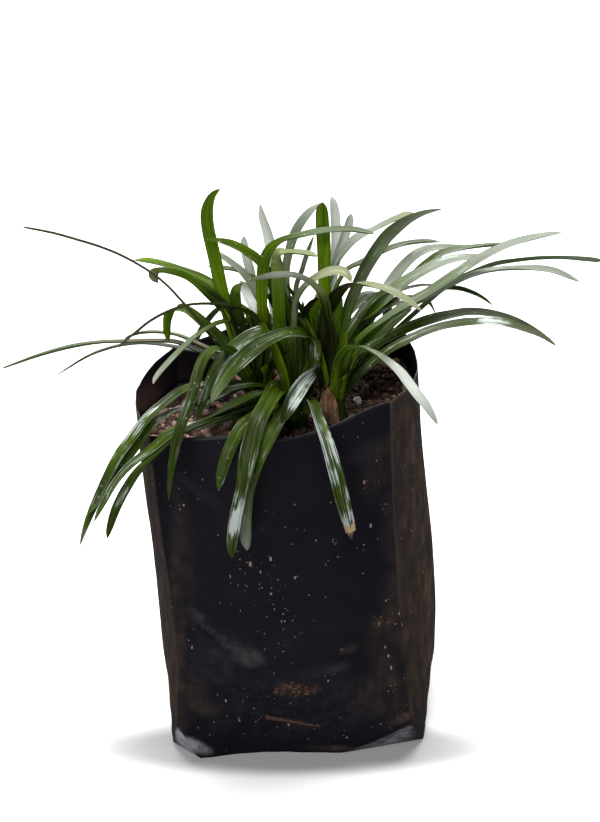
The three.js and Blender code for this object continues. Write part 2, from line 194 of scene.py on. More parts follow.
def make_piece(name, mesh, material, node_names):
    """Turns a bmesh into a smooth-shaded piece that rides on the part and stands for CAD nodes."""
    data = bpy.data.meshes.new(name)
    mesh.to_mesh(data)
    mesh.free()
    data.shade_smooth()
    data.materials.append(material)
    piece = bpy.data.objects.new(name, data)
    bpy.context.scene.collection.objects.link(piece)
    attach(piece, "root")
    if node_names:
        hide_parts(*node_names)


def add_node(tree, kind, sockets=None, **settings):
    """Adds a shader node, sets it up and fills its sockets with values or with other sockets."""
    made = tree.nodes.new(kind)
    for name, value in settings.items():
        setattr(made, name, value)
    for name, value in (sockets or {}).items():
        if isinstance(value, bpy.types.NodeSocket):
            tree.links.new(value, made.inputs[name])
        else:
            made.inputs[name].default_value = value
    return made


def blend_colours(tree, share, low, high):
    mix = add_node(tree, "ShaderNodeMix", {0: share, 6: low, 7: high}, data_type="RGBA")
    return mix.outputs[2]


def combine(tree, operation, first, second=0.0):
    return add_node(tree, "ShaderNodeMath", {0: first, 1: second}, operation=operation).outputs[0]


def times(tree, first, second):
    return combine(tree, "MULTIPLY", first, second)


def plus(tree, first, second):
    return combine(tree, "ADD", first, second)


def rescale(tree, value, low, high, to_low=0.0, to_high=1.0):
    sockets = {"Value": value, "From Min": low, "From Max": high, "To Min": to_low, "To Max": to_high}
    return add_node(tree, "ShaderNodeMapRange", sockets, interpolation_type="SMOOTHSTEP").outputs[0]


def place_on_object(tree):
    return add_node(tree, "ShaderNodeTexCoord").outputs["Object"]


def stretched(tree, sizes):
    """The place on the object, scaled along its own axes, which draws a pattern out along them."""
    sockets = {0: place_on_object(tree), 1: sizes}
    return add_node(tree, "ShaderNodeVectorMath", sockets, operation="MULTIPLY").outputs[0]


def noise_at(tree, place, scale, detail):
    sockets = {"Vector": place, "Scale": scale, "Detail": detail}
    return add_node(tree, "ShaderNodeTexNoise", sockets).outputs[0]


def add_bump(tree, shader, height, strength, depth):
    sockets = {"Height": height, "Strength": strength, "Distance": depth}
    bump = add_node(tree, "ShaderNodeBump", sockets)
    tree.links.new(bump.outputs[0], shader.inputs["Normal"])


def new_group(name, inputs):
    """Starts a shader node group with named number inputs and one mask as its output."""
    group = bpy.data.node_groups.new(name, "ShaderNodeTree")
    for label, value in inputs.items():
        kind = "NodeSocketVector" if isinstance(value, tuple) else "NodeSocketFloat"
        group.interface.new_socket(label, in_out="INPUT", socket_type=kind).default_value = value
    group.interface.new_socket("Mask", in_out="OUTPUT", socket_type="NodeSocketFloat")
    return group, group.nodes.new("NodeGroupInput").outputs, group.nodes.new("NodeGroupOutput").inputs


def speck_group():
    """Grit: small dots at random, each in its own cell, and only in a share of the cells."""
    inputs = {"Place": (0.0, 0.0, 0.0), "Scale": 300.0, "Share": 0.1, "Size": 0.2}
    group, given, result = new_group("grit_specks", inputs)
    cells = add_node(group, "ShaderNodeTexVoronoi", {"Vector": given["Place"], "Scale": given["Scale"]})
    tint = add_node(group, "ShaderNodeSeparateColor", {"Color": cells.outputs["Color"]})
    size = times(group, given["Size"], plus(group, tint.outputs["Blue"], 0.3))
    near = combine(group, "LESS_THAN", cells.outputs["Distance"], size)
    chosen = combine(group, "LESS_THAN", tint.outputs["Red"], given["Share"])
    group.links.new(times(group, near, chosen), result["Mask"])
    return group


def patch_group():
    """Dust: a soft cloudy mask with a set share of the surface covered."""
    inputs = {"Place": (0.0, 0.0, 0.0), "Scale": 40.0, "Low": 0.45, "High": 0.65}
    group, given, result = new_group("dust_patches", inputs)
    sockets = {"Vector": given["Place"], "Scale": given["Scale"], "Detail": 6.0, "Roughness": 0.62}
    cloud = add_node(group, "ShaderNodeTexNoise", sockets)
    group.links.new(rescale(group, cloud.outputs[0], given["Low"], given["High"]), result["Mask"])
    return group


SPECKS = speck_group()
PATCHES = patch_group()


def mask_of(tree, group, **values):
    sockets = {"Place": place_on_object(tree)} | values
    return add_node(tree, "ShaderNodeGroup", sockets, node_tree=group).outputs["Mask"]


def attribute(tree, name):
    return add_node(tree, "ShaderNodeAttribute", attribute_name=name).outputs["Fac"]


def new_material(name, **constants):
    material = bpy.data.materials.new(name)
    material.use_nodes = True
    shader = material.node_tree.nodes["Principled BSDF"]
    for label, value in constants.items():
        shader.inputs[label.replace("_", " ")].default_value = value
    return material.node_tree, shader, material


# Marks on the front as soft ovals in millimetres: the middle across and up, half the width and height,
# the tilt in degrees and the strength.
FRONT_MARKS = {
    "dust": [
        (36, 134, 9, 20, -32, 0.4), (40, 108, 8, 26, 0, 0.42), (40, 62, 12, 34, -8, 0.5),
        (36, 34, 17, 14, 12, 0.5), (-43, 100, 6, 34, 4, 0.36), (-41, 34, 6, 10, 12, 0.6),
        (-36, 27, 8, 4.5, -24, 0.5), (-46, 55, 4, 60, 0, 0.5), (21.5, 56, 4, 2.5, 20, 0.62),
        (34.6, 65.4, 4.5, 3, 0, 0.75), (0.4, 38.4, 10, 4.5, -6, 0.5), (14, 3, 12, 2, 0, 0.7),
        (43, 20, 6, 2.5, 25, 0.9), (-1, 19.5, 13, 2.4, -13, 0.5), (6, 62, 50, 9, 8, 0.16),
    ],
    "haze": [
        (-18, 53, 7, 5.5, -20, 0.85), (-38.5, 69.5, 5.5, 3, -45, 0.7), (-28.5, 60.3, 18, 1.3, -42, 0.7),
        (-23, 56, 13, 7, -38, 0.4), (-36, 124, 13, 3, -38, 0.3), (-12, 110, 2.5, 2.5, 0, 0.35),
        (0, 26, 44, 26, 0, 0.32), (12, 47, 12, 3.5, 12, 0.45), (-33, 48, 12, 14, 0, 0.35),
        (0, 75, 46, 22, 0, 0.12), (26, 138, 10, 4, 30, 0.3),
    ],
    # satin: painted sheen, a pale band standing in for the shine on the tucked lower-left foot, and a faint
    # one low on the right.
    "satin": [(-40.5, 7, 8.5, 3.2, -36, 0.6), (30, 3.5, 12, 2.2, 14, 0.12)],
    "grit": [
        (-12.5, 90, 15, 12, 0, 1.0), (20, 98, 12, 7, 0, 0.9), (-5, 64, 9, 15, 0, 0.8),
        (-26, 78, 5, 4, 0, 0.8), (21, 12, 5, 3, 0, 1.0), (42, 40, 8, 20, 0, 0.7), (38, 68, 8, 7, 0, 0.8),
        (-44, 116, 6, 3, 0, 0.9), (-38, 128, 9, 8, 0, 0.5), (-20, 30, 14, 12, 0, 0.55),
        (0, 20, 40, 14, 0, 0.4), (30, 122, 12, 20, 0, 0.35), (-40, 60, 8, 10, 0, 0.7),
    ],
}
FILM_BLACK = (0.0032, 0.0028, 0.0074, 1)
FILM_WORN = (0.0080, 0.0073, 0.0108, 1)
GREY_HAZE = (0.050, 0.048, 0.053, 1)
DARK_DUST = (0.026, 0.018, 0.014, 1)
BROWN_DUST = (0.074, 0.047, 0.034, 1)
TAN_DUST = (0.20, 0.13, 0.085, 1)
PALE_GRIT = (0.42, 0.31, 0.27, 1)
EDGE_HIGHLIGHT_GREY = (0.105, 0.088, 0.075, 1)
FILM_PAINTED_SHEEN = (0.50, 0.51, 0.56, 1)
# How strongly the tucked foot at the corner after each face is painted with a pale sheen, a painted
# highlight. The front's two corners catch the light.
FOOT_PAINTED_SHEEN = [0.72, 0.35, 0.35, 1.2]


def film_dust(tree, dust):
    """Brown dust in streaks and blotches: how much lies at each place, and its colour."""
    streak = mask_of(tree, PATCHES, Place=stretched(tree, (1, 1, 0.3)), Scale=210.0, Low=0.38, High=0.62)
    blotch = mask_of(tree, PATCHES, Scale=120.0, Low=0.2, High=0.8)
    uneven = plus(tree, times(tree, streak, 0.25), times(tree, blotch, 0.65))
    amount = times(tree, dust, plus(tree, uneven, 0.45))
    brown = blend_colours(tree, times(tree, uneven, 1.3), DARK_DUST, BROWN_DUST)
    return amount, blend_colours(tree, rescale(tree, amount, 1.1, 2.6), brown, TAN_DUST)


def film_grit(tree, gritty):
    """Fine dots of grit, and larger ones that lie closer where there is more of it."""
    fine = mask_of(tree, SPECKS, Scale=1100.0, Share=times(tree, gritty, 0.10), Size=0.34)
    coarse = {
        "Place": stretched(tree, (1, 1, 0.5)),
        "Scale": 760.0,
        "Share": times(tree, times(tree, gritty, gritty), 0.16),
        "Size": 0.34,
    }
    return combine(tree, "MAXIMUM", times(tree, fine, 0.6), mask_of(tree, SPECKS, **coarse))


def film_material():
    """Near-black film with cloudy wear, and haze, dust, grit, a painted highlight on its front creases and
    cut rim, and a painted sheen on its tucked foot.
    """
    tree, shader, material = new_material("black_film", Specular_IOR_Level=0.2)
    cloud = mask_of(tree, PATCHES, Scale=34.0, Low=0.35, High=0.7)
    mottle = mask_of(tree, PATCHES, Scale=190.0, Low=0.35, High=0.7)
    dulled = plus(tree, times(tree, cloud, 0.5), times(tree, mottle, 0.25))
    colour = blend_colours(tree, dulled, FILM_BLACK, FILM_WORN)
    ragged = plus(tree, times(tree, mask_of(tree, PATCHES, Scale=240.0, Low=0.3, High=0.7), 0.7), 0.55)
    haze = times(tree, attribute(tree, "haze"), ragged)
    colour = blend_colours(tree, rescale(tree, haze, 0.0, 1.25), colour, GREY_HAZE)
    dust, brown = film_dust(tree, attribute(tree, "dust"))
    colour = blend_colours(tree, rescale(tree, dust, 0.0, 1.3), colour, brown)
    grit = film_grit(tree, attribute(tree, "grit"))
    colour = blend_colours(tree, times(tree, grit, 0.7), colour, PALE_GRIT)
    # Painted highlight: a pale line along the two front creases and along the cut rim.
    colour = blend_colours(tree, times(tree, attribute(tree, "painted_edge_highlight"), 0.8), colour, EDGE_HIGHLIGHT_GREY)
    # Painted sheen: the satin marks lay a pale grey band, a painted highlight, over the tucked foot.
    shine = times(tree, attribute(tree, "satin"), ragged)
    colour = blend_colours(tree, rescale(tree, shine, 0.0, 1.3), colour, FILM_PAINTED_SHEEN)
    tree.links.new(colour, shader.inputs["Base Color"])
    tree.links.new(rescale(tree, dust, 0.0, 1.0, 0.38, 0.72), shader.inputs["Roughness"])
    add_bump(tree, shader, noise_at(tree, stretched(tree, (1, 1, 0.35)), 260.0, 4.0), 0.35, 0.0004)
    return material


def marks_at(kind, point):
    """How strong the front's marks of one kind are at a point of the film."""
    most = 0.0
    for x, z, wide, high, tilt, strength in FRONT_MARKS[kind]:
        turn = math.radians(tilt)
        across = (point.x - x) * math.cos(turn) + (point.z - z) * math.sin(turn)
        up = (point.z - z) * math.cos(turn) - (point.x - x) * math.sin(turn)
        most = max(most, strength * smooth((1.35 - math.hypot(across / wide, up / high)) / 0.9))
    return most


def film_marks(place, share, point):
    """Dust, haze, grit, a painted edge highlight and a painted sheen at a point of the film's outside."""
    face, along = place
    corner = along > 1
    if face == 0 and not corner:
        marks = {kind: marks_at(kind, point) for kind in FRONT_MARKS}
        return marks | {"grit": max(marks["grit"], 0.10), "painted_edge_highlight": 0.0}
    dust = 0.6 if corner else BAG_FACES[face]["dust"]
    if face in (1, 3) and not corner:
        from_front = along if face == 1 else 1 - along
        dust += 0.6 * smooth((from_front - 0.08) / 0.22) * smooth((0.9 - from_front) / 0.3)
    # The two front creases are painted lighter above their lower third: a painted highlight.
    painted_edge_highlight = 0.3 * smooth((share - 0.3) / 0.3) if corner and face in (0, 3) else 0.0
    satin = 0.0
    # The tucked foot gets a painted sheen, strongest low down in the middle of the corner.
    if corner and share < FOLD_TOP:
        low = 1 - share / FOLD_TOP
        satin = FOOT_PAINTED_SHEEN[face] * smooth(low / 0.3) * (1 - abs(2 * along - 3) ** 2.5)
    dust *= 1 if share > FOLD_TOP else 0.6
    return {"dust": dust, "haze": 0.1, "grit": 0.2, "painted_edge_highlight": painted_edge_highlight, "satin": satin}


def make_bag():
    rings, shares = bag_rings()
    mesh = bmesh.new()
    layers = {kind: mesh.verts.layers.float.new(kind) for kind in (*FRONT_MARKS, "painted_edge_highlight")}
    rows = add_tube(mesh, rings)
    for row, ring, share in zip(rows[:FILM_RINGS], rings, shares):
        for vert, point, place in zip(row, ring, PLACES):
            for kind, strength in film_marks(place, share, point).items():
                vert[layers[kind]] = strength
    # The cut rim is painted with the full edge highlight.
    for vert in rows[FILM_RINGS]:
        vert[layers["painted_edge_highlight"]] = 1.0
    make_piece("grow_bag", mesh, film_material(), ["bag"])


make_bag()

# Potting mix
# A gritty mix of composted bark and small reddish-brown stones fills the bag to just under its rim.
# The loose chips on top are half sunk in the finer stuff, and it dips behind the plant.

SOIL_TOP = 140
SOIL_GAP = 1.4
SOIL_DIP = {"depth": 12, "from_x": -8, "to_x": -36, "from_y": 0, "to_y": 36}
LEFT_DIP = {"depth": 8, "from_x": -33, "width": 15}
SOIL_BURIED = [0, 0.04, 0.1, 0.2, 0.35, 0.5, 0.65, 0.8, 0.88]
SOIL_SHRINKS = [1 - n / 36 for n in range(1, 36)]
# The finer stuff between the chips: how far it lies below them, and the size and height of its crumbs.
FINES = {"below": 1.2, "size": 2.2, "height": 0.9}
CHIP_COUNT = 2100
CHIP_RADII = (0.8, 2.7)
TUFT_FEET = {"right": (15, -18), "front": (0, -23), "left": (-15, -8), "back": (2, 8)}
CROWN_RADIUS = 5.6
PERLITE_AT = (25, -1)
PERLITE_RADIUS = 1.8
# The mix's colours, from its dark bark to its palest stones.
MIX_SHADES = [
    (0.0, (0.020, 0.012, 0.010, 1)), (0.35, (0.10, 0.050, 0.037, 1)),
    (0.7, (0.31, 0.18, 0.135, 1)), (1.0, (0.60, 0.41, 0.33, 1)),
]
MIX_DAMP = (0.012, 0.008, 0.007, 1)
MIX_GRIT = (0.24, 0.17, 0.13, 1)


def soil_height(x, y):
    """The top of the mix: it swells and dips, lower at the left and lowest behind the plant there."""
    dip = SOIL_DIP["depth"]
    dip *= smooth((x - SOIL_DIP["from_x"]) / (SOIL_DIP["to_x"] - SOIL_DIP["from_x"]))
    dip *= smooth((y - SOIL_DIP["from_y"]) / (SOIL_DIP["to_y"] - SOIL_DIP["from_y"]))
    dip += LEFT_DIP["depth"] * smooth((LEFT_DIP["from_x"] - x) / LEFT_DIP["width"])
    swells = 1.1 * math.sin(x / 8 + 1) * math.cos(y / 7)
    lumps = 0.7 * math.sin((x + y) / 3.7) * math.sin((x - 2 * y) / 5.3)
    return SOIL_TOP + swells + lumps - dip


def wall_ring():
    """The film's ring where each point has the soil's height."""
    ring = []
    for place in PLACES:
        share = SOIL_TOP / BAG_HEIGHT
        for _ in range(4):
            point = bag_point(place, share)
            height = soil_height(point.x, point.y)
            share = height / (BAG_HEIGHT + (rim_height(place) - BAG_HEIGHT) * share**2)
        point.z = height
        ring.append(point)
    return ring


def soil_body(edge, middle):
    """Rings up the inside of the film and then, ever smaller, over the top of the mix."""
    rings = []
    for share in SOIL_BURIED:
        rings.append(inset([bag_point(place, share) for place in PLACES], [SOIL_GAP] * len(PLACES)))
    for point in rings[0]:
        point.z = SOIL_GAP
    rings.append(edge)
    for size in SOIL_SHRINKS:
        ring = []
        for point in edge:
            spot = middle.lerp(point, size)
            crumb = noise.fractal(Vector((spot.x / FINES["size"], spot.y / FINES["size"], 0)), 0.6, 2.0, 3)
            spot.z = soil_height(spot.x, spot.y) - FINES["below"] + FINES["height"] * crumb
            ring.append(spot)
        rings.append(ring)
    return rings


def chip_pattern():
    """Corners and faces of a rough ball, which every chip starts from."""
    ball = bmesh.new()
    bmesh.ops.create_icosphere(ball, subdivisions=1, radius=1)
    corners = [vert.co.copy() for vert in ball.verts]
    faces = [[vert.index for vert in face.verts] for face in ball.faces]
    ball.free()
    return corners, faces


CHIP_CORNERS, CHIP_FACES = chip_pattern()


def add_chip(mesh, spot, radius, draw, grain, tint):
    """One loose chip: a small faceted lump with its own stretch, turn and tint."""
    angle = draw.uniform(0, math.tau)
    turn = Matrix.Rotation(angle, 4, Vector([draw.uniform(-1, 1) for _ in range(3)]).normalized())
    stretch = Matrix.Diagonal((draw.uniform(0.8, 1.5), draw.uniform(0.7, 1.1), draw.uniform(0.5, 0.85), 1))
    place = Matrix.Translation(spot * MM) @ turn @ stretch @ Matrix.Scale(radius * MM, 4)
    seed = Vector([draw.uniform(0, 50) for _ in range(3)])
    made = []
    for corner in CHIP_CORNERS:
        vert = mesh.verts.new(place @ (corner * (1 + 0.45 * noise.noise(corner * 0.9 + seed))))
        vert[grain] = tint
        made.append(vert)
    for face in CHIP_FACES:
        mesh.faces.new([made[k] for k in face])


def shade_ramp(tree, value, shades):
    """The colour for a value between 0 and 1, among shades that each have a place."""
    ramp = add_node(tree, "ShaderNodeValToRGB", {"Fac": value})
    stops = ramp.color_ramp.elements
    stops[0].color = shades[0][1]
    stops[1].color = shades[-1][1]
    for position, shade in shades[1:-1]:
        stops.new(position).color = shade
    return ramp.outputs[0]


def soil_material():
    """Each chip and crumb has its own tint, mottled with damp and dotted with fine grit."""
    tree, shader, material = new_material("potting_mix", Specular_IOR_Level=0.25)
    colour = shade_ramp(tree, attribute(tree, "grain"), MIX_SHADES)
    mottle = mask_of(tree, PATCHES, Scale=900.0, Low=0.4, High=0.62)
    colour = blend_colours(tree, times(tree, mottle, 0.45), colour, MIX_DAMP)
    grit = mask_of(tree, SPECKS, Scale=700.0, Share=0.05, Size=0.3)
    colour = blend_colours(tree, times(tree, grit, 0.7), colour, MIX_GRIT)
    tree.links.new(colour, shader.inputs["Base Color"])
    tree.links.new(rescale(tree, mottle, 0.0, 1.0, 0.72, 0.95), shader.inputs["Roughness"])
    add_bump(tree, shader, noise_at(tree, place_on_object(tree), 1400.0, 5.0), 0.8, 0.0005)
    return material


SOIL = soil_material()


def make_soil():
    """The mix and its loose chips, which are larger towards the left and painted paler there, as painted
    light on the lit left side of the mix.
    """
    edge = inset(wall_ring(), [SOIL_GAP] * len(PLACES))
    middle = sum(edge, Vector()) / len(PLACES)
    mesh = bmesh.new()
    grain = mesh.verts.layers.float.new("grain")
    for row in add_tube(mesh, soil_body(edge, middle)):
        for vert in row:
            vert[grain] = 0.12
    draw = random.Random(11)
    for n in range(CHIP_COUNT):
        spot = middle.lerp(edge[draw.randrange(len(PLACES))], 0.975 * math.sqrt(draw.random()))
        paler = smooth((14 - spot.x) / 40)
        radius = CHIP_RADII[0] + (CHIP_RADII[1] - CHIP_RADII[0]) * draw.random() ** (3.2 - 1.6 * paler)
        # Chips further left get a paler tint: painted light on the lit left side of the mix.
        tint = min(max(draw.gauss(0.24 + 0.42 * paler, 0.2), 0.02), 1.0)
        crown_near = min(math.hypot(spot.x - x, spot.y - y) for x, y in TUFT_FEET.values())
        perlite_near = math.hypot(spot.x - PERLITE_AT[0], spot.y - PERLITE_AT[1])
        spot.z = soil_height(spot.x, spot.y) + radius * draw.uniform(-0.6, 0.35)
        if crown_near > CROWN_RADIUS + radius * 0.5 and perlite_near > PERLITE_RADIUS + radius:
            add_chip(mesh, spot, radius, draw, grain, tint)
    make_piece("potting_mix", mesh, SOIL, ["soil"])


make_soil()

# Dried mud
# Crumbs of the mix that were splashed or dropped have dried on to the film, most of them low on its
# front, and a splinter of bark is stuck there with them.

# Each patch of crumbs on the front: its middle across and up, half its width and height, how many
# crumbs it has and how large the largest is, in millimetres.
MUD_PATCHES = [
    (0.4, 38.4, 8.5, 3.2, 70, 1.35), (8.5, 38.8, 2.5, 2, 12, 0.7), (34.6, 65.4, 3.6, 1.8, 16, 0.6),
    (43, 71, 1.5, 2.6, 8, 0.5), (-11, 88, 8, 9, 9, 0.5), (43.5, 21.7, 2.8, 2, 14, 0.6),
    (38.5, 15, 1.6, 1.2, 6, 0.6), (21.5, 56, 2.8, 1.3, 10, 0.4), (-24.8, 36.5, 1.8, 1.2, 4, 0.5),
]
# The splinter: places across and up, and its radius.
SPLINTER = [
    (-11.9, 23.4, 0.3), (-11.4, 23, 1.25), (-9.5, 22.1, 1.0), (-4, 20.6, 0.75), (3, 18.9, 0.7),
    (8, 17.9, 0.6), (11, 17.0, 0.15),
]


def on_front(x, z, proud):
    """The point of the film's front at a distance across and up, a little proud of it."""
    share = z / BAG_HEIGHT
    low, high = 0.0, 1.0
    for _ in range(14):
        along = (low + high) / 2
        if bag_point((0, along), share).x < x:
            low = along
        else:
            high = along
    point = bag_point((0, along), share)
    return point + Vector((0, film_relief(point, share, (0, along)) - proud, 0))


def make_mud():
    """Patches of crumbs on the front, each a scatter of chips, and the splinter of bark."""
    mesh = bmesh.new()
    grain = mesh.verts.layers.float.new("grain")
    draw = random.Random(5)
    for x, z, wide, high, count, largest in MUD_PATCHES:
        for _ in range(count):
            turn = draw.uniform(0, math.tau)
            reach = math.sqrt(draw.random())
            radius = largest * draw.uniform(0.35, 1.0)
            across = x + wide * reach * math.cos(turn)
            spot = on_front(across, z + high * reach * math.sin(turn), 0.1 * radius)
            add_chip(mesh, spot, radius, draw, grain, min(max(draw.gauss(0.2, 0.13), 0.04), 0.85))
    rings = []
    for k, (x, z, radius) in enumerate(SPLINTER):
        middle = on_front(x, z, 0.5 * radius)
        ring = []
        for step in range(12):
            angle = math.tau * step / 12
            uneven = 1 + 0.25 * noise.noise(Vector((k * 0.8, step * 0.7, 3)))
            ring.append(middle + Vector((0, 0.8 * math.sin(angle), math.cos(angle))) * (radius * uneven))
        rings.append(ring)
    for row in add_tube(mesh, rings):
        for vert in row:
            vert[grain] = 0.24
    make_piece("dried_mud", mesh, SOIL, [])


make_mud()

# Perlite grain
# One puffed white volcanic grain lies half sunk among the chips, right of the leaves.

PERLITE_PIT = (0.62, 0.60, 0.56, 1)
PERLITE_WHITE = (0.85, 0.84, 0.81, 1)


def make_perlite():
    tree, shader, material = new_material("perlite", Roughness=0.9, Specular_IOR_Level=0.3)
    pits = mask_of(tree, PATCHES, Scale=1600.0, Low=0.42, High=0.6)
    colour = blend_colours(tree, pits, PERLITE_PIT, PERLITE_WHITE)
    tree.links.new(colour, shader.inputs["Base Color"])
    add_bump(tree, shader, pits, 0.6, 0.0003)
    mesh = bmesh.new()
    middle = Vector((*PERLITE_AT, soil_height(*PERLITE_AT) + PERLITE_RADIUS * 0.4))
    for vert in bmesh.ops.create_icosphere(mesh, subdivisions=4, radius=1)["verts"]:
        lump = 0.95 + 0.22 * noise.noise(vert.co * 1.3) + 0.08 * noise.noise(vert.co * 4)
        vert.co = (middle + vert.co * lump * PERLITE_RADIUS) * MM
    make_piece("perlite", mesh, material, ["perlite_grain"])


make_perlite()

# Leaves
# Four crowns each send up a bunch of leathery straps that arch over the rim. A strap is channelled, with
# fine veins along it, narrow and pale where it leaves the crown and rounded at its tip.

# A leaf's looks: how bright its green is painted, from dark to bright, as painted light and shade that also
# sets the light through it; how much pale grey painted sheen covers it; how much painted glint lies on its
# veins; and how withered it is.
LOOKS = {
    "lit": (0.72, 0.0, 0.0, 0.0),
    "mid": (0.5, 0.0, 0.06, 0.0),
    "deep": (0.28, 0.0, 0.08, 0.0),
    "dim": (0.06, 0.0, 0.0, 0.0),
    "sere": (0.20, 0.13, 0.1, 0.16),
    "shade": (0.26, 0.02, 0.2, 0.0),
    "satin": (0.38, 0.04, 0.3, 0.0),
    "gloss": (0.36, 0.04, 0.46, 0.0),
    "glare": (0.38, 0.07, 0.78, 0.0),
    "ash": (0.3, 0.2, 0.2, 0.0),
    "grey": (0.5, 0.27, 0.2, 0.0),
    "silver": (0.52, 0.42, 0.25, 0.0),
    "straw": (0.85, 0.34, 0.15, 0.12),
    "cream": (0.85, 0.72, 0.15, 0.06),
    "pale": (0.6, 1.0, 0.3, 0.0),
}
